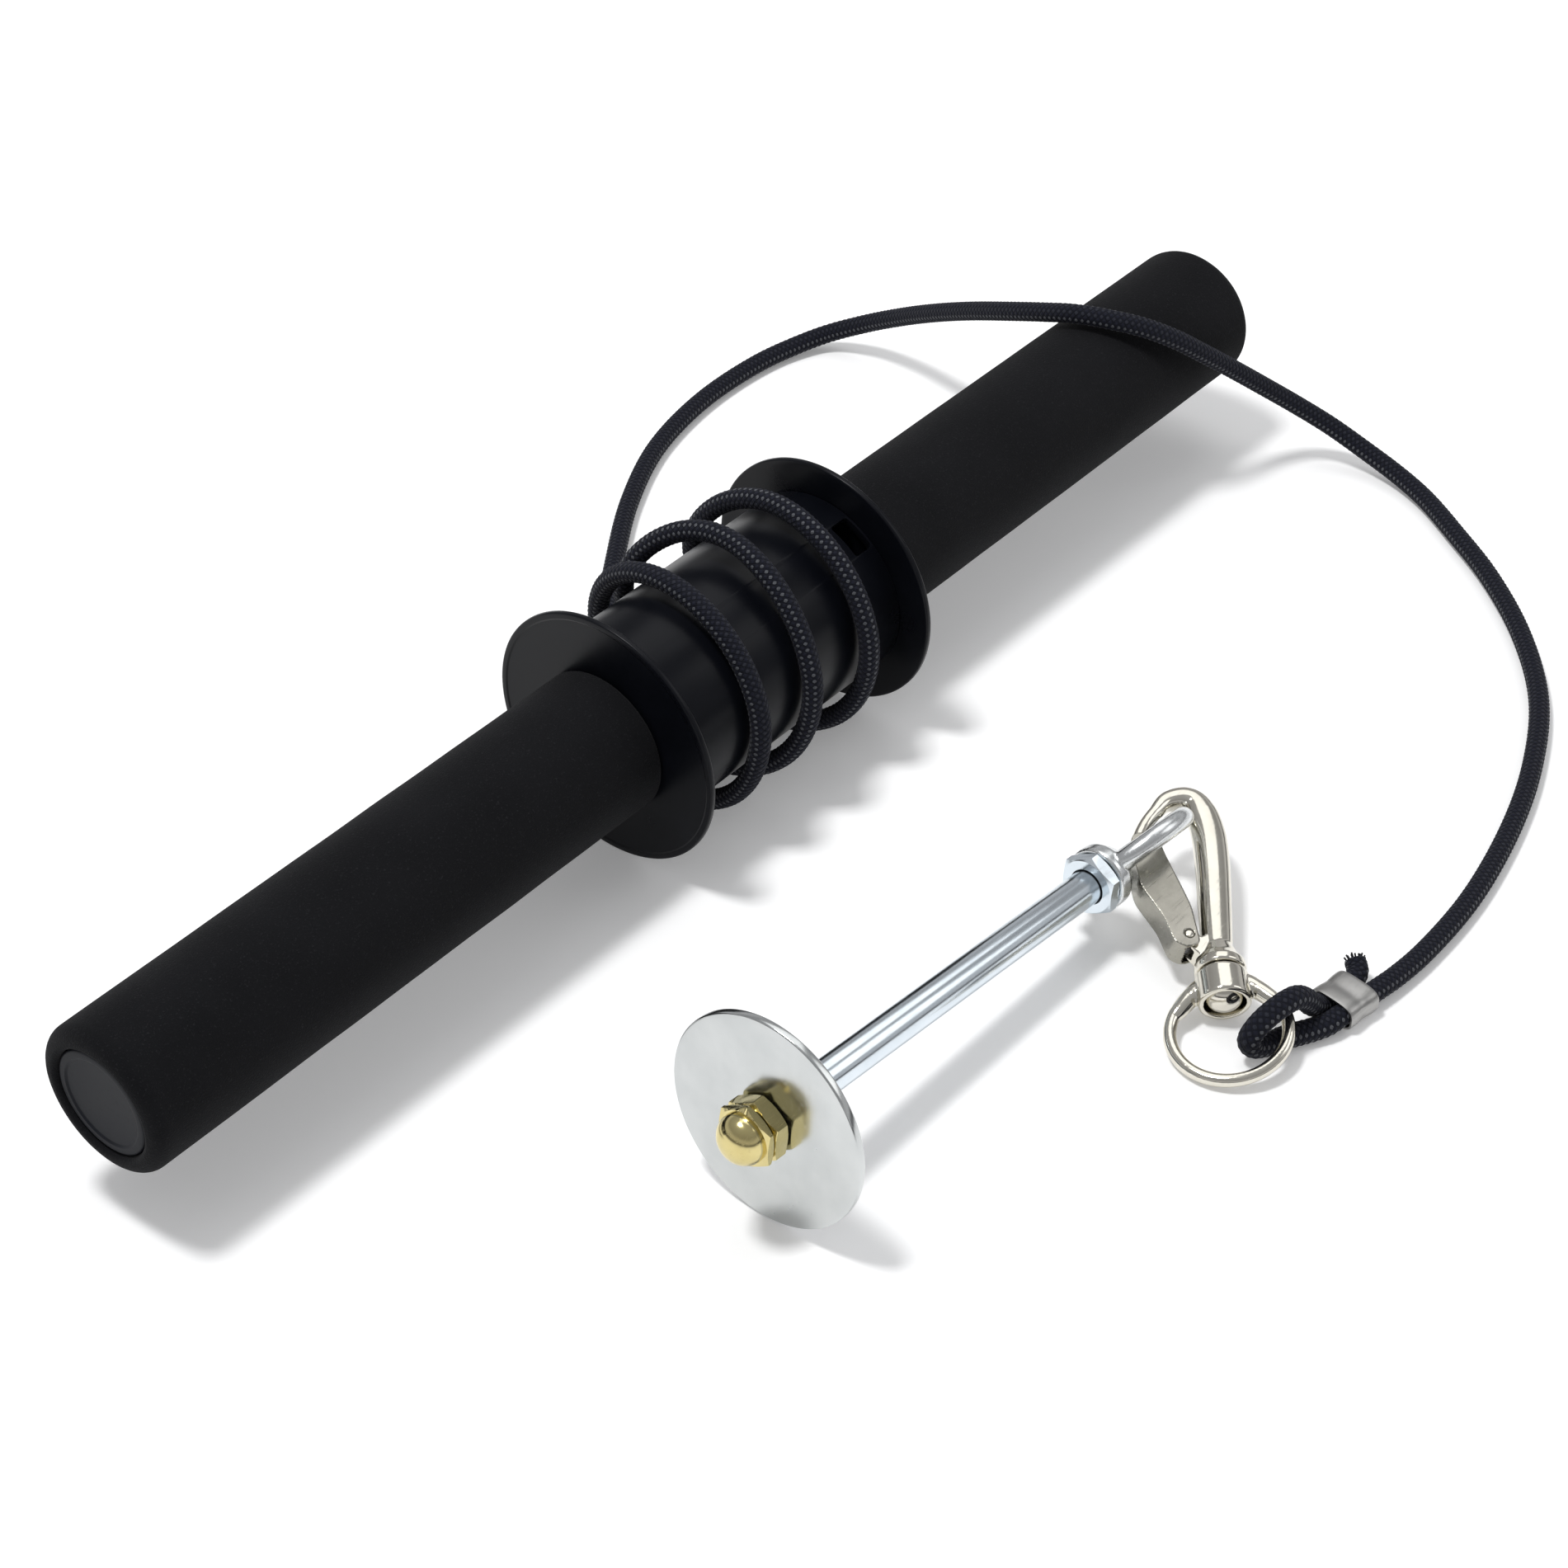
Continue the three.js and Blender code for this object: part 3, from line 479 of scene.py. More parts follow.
FINISHES: dict[str, Finish] = {
    Slot.FOAM: FoamFinish("foam_black", (0.0042, 0.0044, 0.0054), 0.92),
    Slot.PLASTIC: MouldedFinish(
        "moulding_black", (0.0026, 0.003, 0.0048), 0.26, specular=0.14, tint=(0.0049, 0.0055, 0.0082),
        lines=0.01, wave=0.000005,
    ),
    Slot.CAP: MouldedFinish(
        "moulding_grey", (0.008, 0.0088, 0.0118), 0.42, specular=0.09, tint=(0.013, 0.0142, 0.0187)
    ),
    Slot.CORD: CordFinish("cord_braid", (0.0042, 0.005, 0.0094), 0.8),
    Slot.TUBE: PlateFinish("steel_drawn", (0.3, 0.3, 0.31), 0.35, tint=(0.24, 0.24, 0.25)),
    Slot.CLAMP: PlateFinish("steel_clamp", (0.4, 0.395, 0.385), 0.3, tint=(0.31, 0.305, 0.295), lines=0.2),
    Slot.NICKEL: PlateFinish("nickel_plate", (0.77, 0.74, 0.655), 0.1, tint=(0.67, 0.64, 0.56), dull=0.07),
    Slot.ZINC: PlateFinish(
        "zinc_plate", (0.76, 0.82, 0.87), 0.16, tint=(0.67, 0.74, 0.79), dull=0.06, lines=0.06, wave=0.000012
    ),
    Slot.BRASS: PlateFinish("brass_turned", (0.76, 0.66, 0.33), 0.12, tint=(0.62, 0.52, 0.23)),
    Look.DISC: PlateFinish(
        "disc_zinc", (0.66, 0.675, 0.67), 0.14, tint=(0.54, 0.56, 0.56), lines=0.06, scale=60.0
    ),
    # The nickel plate at about half its brightness and a little rougher; the darkening is painted shade.
    Look.SHADED_NICKEL: PlateFinish("nickel_painted_shade", (0.4, 0.385, 0.34), 0.16, tint=(0.3, 0.29, 0.25)),
    Look.FORGED: PlateFinish("forged_zinc", (0.8, 0.82, 0.82), 0.2, tint=(0.68, 0.7, 0.71), wave=0.00006),
}
MATERIALS: dict[str, bpy.types.Material] = {}


def material_of(look: Slot | Look) -> bpy.types.Material:
    """Finds a slot's or a look's material, built at its first use.

    Args:
        look: The slot or the look.

    Returns:
        Its material.
    """
    if look not in MATERIALS:
        MATERIALS[look] = FINISHES[look].build()
    return MATERIALS[look]


# Mesh making. Shapes are made in millimetres in a piece's own axes, then placed.


@dataclass
class Shape:
    """A closed mesh in the making: points in millimetres and faces as tuples of their numbers."""

    points: np.ndarray
    faces: list[tuple[int, ...]]

    def placed(self, matrix: Matrix) -> "Shape":
        """Returns the shape moved by a matrix in millimetres."""
        turn = np.array(matrix, float)
        return Shape(self.points @ turn[:3, :3].T + turn[:3, 3], self.faces)


def moved(*place: float) -> Matrix:
    """Returns a move by X, Y and Z."""
    return Matrix.Translation(Vector(place))


def turned(degrees: float, axis: str) -> Matrix:
    """Returns a turn about an axis."""
    return Matrix.Rotation(math.radians(degrees), 4, axis)


def arc(centre: tuple[float, float], radius: float, start: float, sweep: float, steps: int) -> Outline:
    """Returns the points of an arc in a number of steps, both ends among them."""
    angles = [start + sweep * step / steps for step in range(steps + 1)]
    return [(centre[0] + radius * math.cos(angle), centre[1] + radius * math.sin(angle)) for angle in angles]


def fillet(outline: Outline, radii: dict[int, float], steps: int = 4) -> Outline:
    """Rounds corners of a closed outline.

    Args:
        outline: The corners, in order, without the first repeated.
        radii: The radius at each corner's number that is rounded.
        steps: How many parts each arc has.

    Returns:
        The outline with its arcs.
    """
    result: Outline = []
    for number, corner in enumerate(outline):
        radius = radii.get(number, 0.0)
        if radius <= 0.0:
            result.append(corner)
            continue
        here = np.array(corner, float)
        ways = [np.array(other, float) - here for other in (outline[number - 1], outline[(number + 1) % len(outline)])]
        back, on = (way / np.linalg.norm(way) for way in ways)
        half = math.acos(float(np.clip(back @ on, -1.0, 1.0))) / 2
        reach = radius / math.tan(half)
        centre = here + (back + on) / np.linalg.norm(back + on) * radius / math.sin(half)
        first, last = here + back * reach - centre, here + on * reach - centre
        start = math.atan2(first[1], first[0])
        sweep = (math.atan2(last[1], last[0]) - start + math.pi) % FULL_TURN - math.pi
        result += arc(centre, radius, start, sweep, steps)
    return result


def quads(rings: int, sides: int, closed: bool = False) -> list[tuple[int, ...]]:
    """Joins rings of points by four-sided faces.

    Args:
        rings: How many rings there are.
        sides: How many points each has.
        closed: Whether the last is joined to the first.

    Returns:
        The faces.
    """
    faces: list[tuple[int, ...]] = []
    for ring in range(rings if closed else rings - 1):
        a, b = ring * sides, (ring + 1) % rings * sides
        faces += [(a + n, a + (n + 1) % sides, b + (n + 1) % sides, b + n) for n in range(sides)]
    return faces


def lathe(outline: Outline, sides: int, ripple: float = 0.0, seed: int = 0) -> Shape:
    """Turns a closed outline of (along X, radius) points about the X axis.

    Args:
        outline: The outline, in order. Points at radius 0 close on the axis.
        sides: How many sides the round has.
        ripple: How far the surface wanders in and out, for soft material.
        seed: Which wander it is.

    Returns:
        The turned shape.
    """
    waves = np.random.default_rng(seed).random((6, 3))
    angles = FULL_TURN * np.arange(sides) / sides
    points: list[Point] = []
    rings: list[list[int]] = []
    for along, radius in outline:
        if radius < 1e-6:
            rings.append([len(points)] * sides)
            points.append((along, 0.0, 0.0))
            continue
        rings.append(list(range(len(points), len(points) + sides)))
        wander = np.zeros(sides)
        for number, (a, b, c) in enumerate(waves):
            wander += np.sin(along * (0.05 + 0.25 * a) + angles * (1 + number) + 6.3 * b) * (0.3 + c)
        size = radius + ripple * wander / len(waves) - ripple
        points += zip([along] * sides, size * np.cos(angles), size * np.sin(angles))
    faces = []
    for ring, after in zip(rings, rings[1:] + rings[:1]):
        for side in range(sides):
            on = (side + 1) % sides
            face = tuple(dict.fromkeys([ring[side], ring[on], after[on], after[side]]))
            if len(face) > 2:
                faces.append(face)
    return Shape(np.array(points), faces)


def bar(from_x: float, to_x: float, radius: float, sides: int, edge: float = 0.0) -> Shape:
    """Returns a round bar on the X axis, its two ends rounded by edge."""
    corners = [(from_x, 0.0), (from_x, radius), (to_x, radius), (to_x, 0.0)]
    return lathe(fillet(corners, {1: edge, 2: edge}), sides)


def loft(rings: np.ndarray) -> Shape:
    """Lays a skin over rings of points.

    Args:
        rings: The points, by ring and side.

    Returns:
        The closed shape.
    """
    count, sides = rings.shape[:2]
    ends = [tuple(range(sides))[::-1], tuple(range((count - 1) * sides, count * sides))]
    return Shape(rings.reshape(-1, 3), quads(count, sides) + ends)


def prism(outline: Outline, bottom: float, top: float) -> Shape:
    """Returns an outline in X and Y drawn out along Z, with flat ends."""
    return loft(np.array([[(x, y, z) for x, y in outline] for z in (bottom, top)]))


def hoop(radius: float, wire: float, steps: int, sides: int) -> Shape:
    """Makes a round ring of round wire in the XY plane.

    Args:
        radius: The ring's radius to the wire's middle.
        wire: The wire's thickness.
        steps: How many parts the ring has.
        sides: How many sides the wire has.

    Returns:
        The ring.
    """
    turn = FULL_TURN * np.arange(steps)[:, None] / steps
    angle = FULL_TURN * np.arange(sides)[None] / sides
    reach = radius + wire / 2 * np.cos(angle)
    high = np.broadcast_to(wire / 2 * np.sin(angle), (steps, sides))
    rings = np.stack([reach * np.cos(turn), reach * np.sin(turn), high], axis=-1)
    return Shape(rings.reshape(-1, 3), quads(steps, sides, closed=True))


def ellipsoid(sizes: Point, rows: int = 32, sides: int = 48) -> Shape:
    """Makes an ellipsoid with its poles on X.

    Args:
        sizes: Its half sizes.
        rows: How many parts it has from pole to pole.
        sides: How many sides its round has.

    Returns:
        The ellipsoid.
    """
    angles = [math.pi * row / rows for row in range(1, rows)]
    ball = lathe([(-1.0, 0.0), *((-math.cos(a), math.sin(a)) for a in angles), (1.0, 0.0)], sides)
    return Shape(ball.points * np.array(sizes), ball.faces)


def sections(line: np.ndarray, radius: object, sides: int) -> tuple[np.ndarray, np.ndarray]:
    """Sets rings of points round a line, without a twist from one to the next.

    Args:
        line: The line's points.
        radius: The rings' radius, one number or one at each point of each ring.
        sides: How many points each ring has.

    Returns:
        The rings, and at each point of the line the two directions across it.
    """
    along = np.gradient(line, axis=0)
    along /= np.linalg.norm(along, axis=1)[:, None]
    side = np.array([0.0, 0.0, 1.0])
    across = np.zeros_like(line)
    for number, way in enumerate(along):
        side = side - way * (side @ way)
        side = across[number] = side / np.linalg.norm(side)
    frames = np.stack([across, np.cross(along, across)], axis=1)
    angles = FULL_TURN * np.arange(sides) / sides
    ways = frames[:, :1] * np.cos(angles)[:, None] + frames[:, 1:] * np.sin(angles)[:, None]
    return line[:, None] + np.broadcast_to(radius, ways.shape[:2])[:, :, None] * ways, frames


def between(first: np.ndarray, last: np.ndarray, low: float, high: float, t: float) -> np.ndarray:
    """Returns the point for t, where first is the point for low and last the point for high."""
    return (first * (high - t) + last * (t - low)) / (high - low)


def catmull(points: np.ndarray, steps: int) -> np.ndarray:
    """Runs a centripetal curve through points.

    Args:
        points: The points that it goes through.
        steps: How many parts each span has.

    Returns:
        The curve's points.
    """
    p = np.vstack([2 * points[0] - points[1], points, 2 * points[-1] - points[-2]])
    result = []
    for i in range(len(p) - 3):
        chords = np.linalg.norm(np.diff(p[i : i + 4], axis=0), axis=1)
        knots = np.concatenate([[0.0], np.cumsum(chords**0.5)])
        for t in np.linspace(knots[1], knots[2], steps, endpoint=False):
            a = [between(p[i + k], p[i + k + 1], knots[k], knots[k + 1], t) for k in range(3)]
            b = [between(a[k], a[k + 1], knots[k], knots[k + 2], t) for k in range(2)]
            result.append(between(*b, knots[1], knots[2], t))
    return np.array([*result, p[-2]])


def evenly(line: np.ndarray, step: float) -> np.ndarray:
    """Sets points evenly along a line.

    Args:
        line: The line's points.
        step: How far apart the new ones are.

    Returns:
        The new points.
    """
    lengths = np.concatenate([[0.0], np.cumsum(np.linalg.norm(np.diff(line, axis=0), axis=1))])
    places = np.linspace(0.0, lengths[-1], max(2, round(lengths[-1] / step) + 1))
    return np.stack([np.interp(places, lengths, line[:, k]) for k in range(3)], axis=1)


def mesh_object(name: str, shape: Shape) -> Thing:
    """Makes an object from a shape, its faces turned outwards.

    Args:
        name: The object's name.
        shape: Its shape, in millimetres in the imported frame.

    Returns:
        The object, in metres.
    """
    mesh = bpy.data.meshes.new(name)
    mesh.from_pydata((shape.points * MM).tolist(), [], shape.faces)
    mesh.validate()
    work = bmesh.new()
    work.from_mesh(mesh)
    bmesh.ops.recalc_face_normals(work, faces=work.faces)
    work.to_mesh(mesh)
    work.free()
    thing = bpy.data.objects.new(name, mesh)
    bpy.context.scene.collection.objects.link(thing)
    return thing


def soften(thing: Thing, degrees: float = 32.0) -> None:
    """Shades a mesh smooth, with its edges over an angle kept sharp."""
    thing.data.shade_smooth()
    thing.data.set_sharp_from_angle(angle=math.radians(degrees))


def settled(thing: Thing) -> None:
    """Applies an object's modifiers, so that its mesh is what is seen.

    Args:
        thing: The object.
    """
    graph = bpy.context.evaluated_depsgraph_get()
    graph.update()
    mesh = bpy.data.meshes.new_from_object(thing.evaluated_get(graph))
    thing.modifiers.clear()
    old, thing.data = thing.data, mesh
    mesh.name = thing.name
    bpy.data.meshes.remove(old)


def combined(name: str, lay: Matrix, solids: list[Shape], *steps: list[Shape]) -> Thing:
    """Joins solids into one closed body, cuts others from it, joins the next ones, and so on.

    Args:
        name: The object's name.
        lay: The place of the shapes' own axes.
        solids: What is joined first.
        steps: What is cut away next, then what is joined, in turn.

    Returns:
        The object.
    """
    whole = mesh_object(name, solids[0].placed(lay))
    for number, shapes in enumerate((solids[1:], *steps)):
        for shape in shapes:
            tool = mesh_object("tool", shape.placed(lay))
            change = whole.modifiers.new("change", "BOOLEAN")
            change.operation = "DIFFERENCE" if number % 2 else "UNION"
            change.solver = "MANIFOLD"
            change.object = tool
            settled(whole)
            bpy.data.meshes.remove(tool.data)
    return whole


def cast(thing: Thing, grain: float, rounds: int = 6) -> None:
    """Gives a body the soft corners of a casting.

    Args:
        thing: The body.
        grain: The size of its new faces in millimetres.
        rounds: How often it is smoothed.
    """
    remesh = thing.modifiers.new("cast", "REMESH")
    remesh.mode = "VOXEL"
    remesh.voxel_size = grain * MM
    remesh.adaptivity = 0.0
    smooth = thing.modifiers.new("soft", "SMOOTH")
    smooth.factor = 0.5
    smooth.iterations = rounds
    settled(thing)
    thing.data.shade_smooth()


def bevelled(thing: Thing, width: float, degrees: float) -> None:
    """Rounds a body's sharp edges.

    Args:
        thing: The body.
        width: How wide the round is, in millimetres.
        degrees: How sharp an edge has to be.
    """
    bevel = thing.modifiers.new("edges", "BEVEL")
    bevel.width = width * MM
    bevel.segments = 2
    bevel.limit_method = "ANGLE"
    bevel.angle_limit = math.radians(degrees)
    settled(thing)
    soften(thing)


def dress(thing: Thing, body: Body, slot: Slot, *nodes: str, look: Look | None = None) -> Thing:
    """Gives a finished mesh its material, its body and the nodes that it stands for.

    Args:
        thing: The piece.
        body: The body that it rides on.
        slot: The record's slot that its finish is from.
        nodes: The nodes that it replaces.
        look: Its own finish, where that isn't the slot's.

    Returns:
        The piece.
    """
    thing.data.materials.clear()
    thing.data.materials.append(material_of(look or slot))
    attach(thing, body.value)
    if nodes:
        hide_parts(*nodes)
    log.info("%s: %d faces, on %s", thing.name, len(thing.data.polygons), body.value)
    return thing


# Sub-assemblies


@dataclass
class Studio:
    """The camera of the photograph, a pale floor and soft light."""

    camera_at: Point = (-0.5077, -0.37777, 0.5549)
    target: Point = (0.0032, 0.04753, 0.0)
    lens: float = 85.82
    sensor: float = 36.0
    floor_size: float = 9.0
    floor_drop: float = 0.0002
    floor_color: Color = (0.92, 0.92, 0.92)
    floor_rough: float = 0.9
    floor_glow: float = 0.17
    lamps: tuple[tuple[str, Point, float, float], ...] = (
        ("key", (-0.38, 0.42, 1.75), 0.3, 19.5),
        ("side", (0.9, -0.9, 1.1), 0.8, 2.5),
        ("back", (0.68, 0.34, 1.3), 1.0, 3.4),
    )
    low_sky: Color = (0.03, 0.03, 0.035)
    high_sky: Color = (0.68, 0.69, 0.71)
    sky_levels: tuple[tuple[float, float], ...] = ((0.1, 0.04), (0.17, 0.95), (0.34, 0.85), (0.48, 0.5))
    sky_blue: float = 1.02
    sky_strength: float = 0.6

    @staticmethod
    def hung(name: str, data: bpy.types.ID, place: Point, target: Point) -> Thing:
        """Puts a camera or a lamp in the scene, turned to a point.

        Args:
            name: Its name.
            data: The camera or the light.
            place: Where it hangs.
            target: What it looks at.

        Returns:
            The object.
        """
        thing = bpy.data.objects.new(name, data)
        thing.location = place
        thing.rotation_euler = (Vector(target) - Vector(place)).to_track_quat("-Z", "Y").to_euler()
        bpy.context.scene.collection.objects.link(thing)
        return thing

    def camera(self) -> None:
        """Sets the photograph's camera up."""
        data = bpy.data.cameras.new("camera")
        data.lens = self.lens
        data.sensor_width = self.sensor
        data.clip_start = 0.01
        bpy.context.scene.camera = self.hung("camera", data, self.camera_at, self.target)
        log.info("camera at %s", self.camera_at)

    def floor(self) -> None:
        """Lays a pale floor that keeps the object's shadow and is white where it is lit."""
        half = self.floor_size / 2
        mesh = bpy.data.meshes.new("floor")
        mesh.from_pydata([(-half, -half, 0), (half, -half, 0), (half, half, 0), (-half, half, 0)], [], [(0, 1, 2, 3)])
        thing = bpy.data.objects.new("floor", mesh)
        thing.location.z = -self.floor_drop
        bpy.context.scene.collection.objects.link(thing)
        material = bpy.data.materials.new("floor_paper")
        material.use_nodes = True
        wires = Wiring(material.node_tree)
        seen = wires.node("ShaderNodeLightPath").outputs
        direct = wires.math("MAXIMUM", seen["Is Camera Ray"], seen["Is Glossy Ray"])
        direct = wires.math("MAXIMUM", direct, seen["Is Transmission Ray"])
        white = (1.0, 1.0, 1.0, 1.0)
        shader, glow = wires.tree.nodes["Principled BSDF"], wires.math("MULTIPLY", direct, self.floor_glow)
        wires.feed(shader, Base_Color=(*self.floor_color, 1.0), Roughness=self.floor_rough, Specular_IOR_Level=0.0)
        wires.feed(shader, Emission_Color=white, Emission_Strength=glow)
        mesh.materials.append(material)

    def light(self) -> None:
        """Hangs the soft lamps and sets the room's own light, dark at the floor and bright above it."""
        for name, place, size, power in self.lamps:
            data = bpy.data.lights.new(name, "AREA")
            data.shape = "SQUARE"
            data.size = size
            data.energy = power
            self.hung(name, data, place, (0.0, 0.0, 0.0))
        world = bpy.context.scene.world = bpy.data.worlds.new("room")
        world.use_nodes = True
        wires = Wiring(world.node_tree)
        place = wires.node("ShaderNodeTexCoord").outputs["Generated"]
        ramp = wires.node("ShaderNodeValToRGB")
        wires.give(ramp.inputs[0], wires.node("ShaderNodeSeparateXYZ", Vector=place).outputs[2])
        stops = ramp.color_ramp.elements
        stops[0].position, stops[0].color = 0.0, (*self.low_sky, 1.0)
        stops[1].position, stops[1].color = 1.0, (*self.high_sky, 1.0)
        for position, level in self.sky_levels:
            stops.new(position).color = (level, level, level * self.sky_blue, 1.0)
        wires.feed(wires.tree.nodes["Background"], Color=ramp.outputs[0], Strength=self.sky_strength)

    def build(self) -> None:
        """Builds the camera, the floor and the light."""
        bpy.context.scene.view_settings.view_transform = "Standard"
        self.camera()
        self.floor()
        self.light()


@dataclass
class Rope:
    """The rope from the drum's slot to its frayed end, in one length, and the clamp on it."""

    diameter: float = 5.0
    sides: int = 32
    step: float = 0.4
    drum_radius: float = 23.3
    drum_bore_radius: float = 21.3
    slot_place: float = 33.6
    slot_angle: float = 300.0
    turn_pitch: float = 19.7
    turn_sway: float = 1.95
    sway_angle: float = 145.0
    turn_drift: float = 1.1
    drift_angle: float = 690.0
    drift_share: float = 0.6
    turn_slack: float = 0.6
    bottom_lift: float = 2.0
    back_lifts: tuple[float, ...] = (0.0, 2.2, 3.8, 2.2)
    back_angle: float = 70.0
    back_shifts: tuple[float, ...] = (0.0, 6.0, 12.0, 0.0)
    shift_angle: float = 15.0
    exit_bend: float = 3.4
    exit_steps: int = 4
    settle_angle: float = 45.0
    leave_shift: float = 4.2
    leave_angle: float = 80.0
    last_angle: float = 1350.0
    angle_step: float = 15.0
    clamp_length: float = 9.0
    clamp_at: tuple[float, float] = (21.6, -158.5)
    clamp_heading: float = -7.0
    clamp_height: float = 6.6
    clamp_wall: float = 0.5
    clamp_press: float = 0.22
    clamp_square: float = 0.62
    clamp_sides: int = 72
    clamp_steps: int = 25
    clamp_edge_at: float = 0.9
    clamp_edge: float = 2.0
    clamp_press_reach: float = 1.6
    strand_spacing: float = 5.3
    braid_depth: float = 0.16
    bight_swell: float = 0.12
    swell_reach: float = 11.0
    end_taper: float = 0.55
    fray_strands: int = 26
    fray_yarn: float = 0.4
    fray_depth: float = 1.2
    fray_floor: float = 0.3
    fray_step: float = 0.35
    fray_draws: tuple[tuple[float, float], ...] = ((0, 0.4), (0.5, 1.5), (0.8, 0.7), (0, 0.5), (1.1, 1), (-0.15, 0.5))
    route: tuple[Point, ...] = (
        (-10, 21, 2.6), (8, 42, 2.5), (25, 57.5, 2.5), (42, 70, 2.5), (62, 83, 2.5), (84.2, 93.4, 2.5),
        (108.1, 98.5, 2.5), (130.5, 98.6, 2.5), (143, 96, 2.9), (151.5, 91.5, 4.5), (155.6, 82, 9.5),
        (155, 70, 16.8), (150.6, 55, 26.5), (146, 40, 35.5), (141.9, 25, 43.6), (140.5, 13.4, 48.8),
        (141, 4, 51.9), (144.4, -4.4, 51.9), (149.3, -11, 49.9), (155.4, -16.1, 45.7), (163.1, -20.1, 39.2),
        (172.1, -23.5, 31.4), (181, -27.6, 23.4), (188.5, -33, 16.3), (193.9, -40.5, 10.3), (196, -50, 5.9),
        (195.3, -61, 3.3), (191.9, -71.3, 2.5), (183.5, -86, 2.5), (174, -101.1, 2.5), (158.6, -119.7, 2.5),
        (139.4, -136.2, 2.5), (117.3, -147.8, 2.5), (94.9, -155.7, 2.5), (68, -161.6, 2.5), (46, -163.2, 2.6),
        (35, -162.8, 2.9), (29.5, -162.2, 3.2),
    )
    bight: tuple[Point, ...] = (
        (14, -155.1, 5.4), (11, -154.9, 9), (8, -154.5, 11.4), (4.8, -154, 12.1), (1.2, -153.2, 11.6),
        (-2.6, -152.1, 9.6), (-4.6, -151.4, 6.6), (-3.6, -151.8, 4), (-0.2, -153.1, 2.75), (5.3, -155.3, 2.55),
        (10, -158, 2.6), (13.2, -159.7, 2.9),
    )
    tail: tuple[Point, ...] = ((28.8, -156.6, 3.4), (30.8, -155.8, 3.9), (32.2, -154.2, 4.7))

    @staticmethod
    def of_turn(values: tuple[float, ...], degrees: float, middle: float, power: int) -> float:
        """Works out a value that each turn has its own of, on one side of the drum.

        Args:
            values: The turns' values.
            degrees: The angle of the rope's turns.
            middle: The angle at which the value is in full. It is 0 on the other side.
            power: How narrow it is.

        Returns:
            The value.
        """
        turn = math.floor((degrees - middle) / 360 + 0.5)
        value = values[max(0, min(turn, len(values) - 1))]
        return value * max(math.cos(math.radians(degrees - middle)), 0.0) ** power

    def sideways(self, degrees: float, start: float) -> float:
        """Works out how far along the drum the rope lies.

        Args:
            degrees: The angle of its turns.
            start: The angle that the turns start at.

        Returns:
            Its place along the bar.
        """
        rad = math.radians
        sway = math.sin(rad(degrees - self.sway_angle)) - math.sin(rad(start - self.sway_angle))
        drift = math.cos(rad(self.drift_share * (degrees - self.drift_angle)))
        drift -= math.cos(rad(self.drift_share * (start - self.drift_angle)))
        leaving = max((degrees - self.last_angle + self.leave_angle) / self.leave_angle, 0.0) ** 2
        pitched = self.turn_pitch * (degrees - start) / 360
        wander = self.turn_sway * sway + self.turn_drift * drift + self.leave_shift * leaving
        return self.slot_place - pitched + wander - self.of_turn(self.back_shifts, degrees, self.shift_angle, 3)

    def radius_at(self, degrees: float, start: float, exit_radius: float) -> float:
        """Works out how far from the bar's axis the rope's middle lies.

        Args:
            degrees: The angle of its turns.
            start: The angle that the turns start at.
            exit_radius: The radius there.

        Returns:
            The radius.
        """
        back = self.of_turn(self.back_lifts, degrees, self.back_angle, 2)
        bottom = self.bottom_lift * max(-math.sin(math.radians(degrees)), 0.0) ** 2
        lying = self.drum_radius + self.diameter / 2 + self.turn_slack + back + bottom
        share = min(max((degrees - start) / self.settle_angle, 0.0), 1.0)
        return exit_radius + (lying - exit_radius) * share * share * (3 - 2 * share)

    @staticmethod
    def on_drum(along: float, degrees: float, radius: float) -> Point:
        """Returns a point at an angle and a radius round the bar."""
        angle = math.radians(degrees)
        return (along, radius * math.cos(angle), AXIS_HEIGHT + radius * math.sin(angle))

    def wound_points(self) -> list[Point]:
        """Leads the rope out of the slot and round the drum.

        Returns:
            The points of the route.
        """
        top = self.drum_bore_radius
        exit_radius = top + self.diameter + self.exit_bend
        start = self.slot_angle + math.degrees(self.exit_bend / exit_radius)
        points = [self.on_drum(self.slot_place, self.slot_angle, top + rise) for rise in (0.0, self.diameter / 2)]
        for number in range(self.exit_steps):
            bend = math.pi / 2 * number / self.exit_steps
            radius = top + self.diameter + self.exit_bend * math.sin(bend)
            swing = (start - self.slot_angle) * (1 - math.cos(bend))
            points.append(self.on_drum(self.slot_place, self.slot_angle + swing, radius))
        steps = math.ceil((self.last_angle - start) / self.angle_step)
        for number in range(steps + 1):
            degrees = start + (self.last_angle - start) * number / steps
            radius = self.radius_at(degrees, start, exit_radius)
            points.append(self.on_drum(self.sideways(degrees, start), degrees, radius))
        return points

    def clamp_point(self, along: float, across: float) -> Point:
        """Works out where a point of the clamp is.

        Args:
            along: Its place along the clamp.
            across: Its place across it.

        Returns:
            The point.
        """
        angle = math.radians(self.clamp_heading)
        x = self.clamp_at[0] + along * math.cos(angle) - across * math.sin(angle)
        y = self.clamp_at[1] + along * math.sin(angle) + across * math.cos(angle)
        return (x, y, self.clamp_height / 2)

    def centreline(self) -> np.ndarray:
        """Draws the rope's middle line from the slot to the frayed end.

        Returns:
            The line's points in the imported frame.
        """
        strand = self.strand_spacing / 2
        places = (self.clamp_length / 2, 0.0, -self.clamp_length / 2)
        points = [*self.wound_points(), *self.route]
        points += [self.clamp_point(place, -strand) for place in places]
        points += self.bight[::-1]
        points += [self.clamp_point(place, strand) for place in places[::-1]]
        points += self.tail
        return evenly(catmull(np.array(points, float), steps=10), self.step) + SHIFT

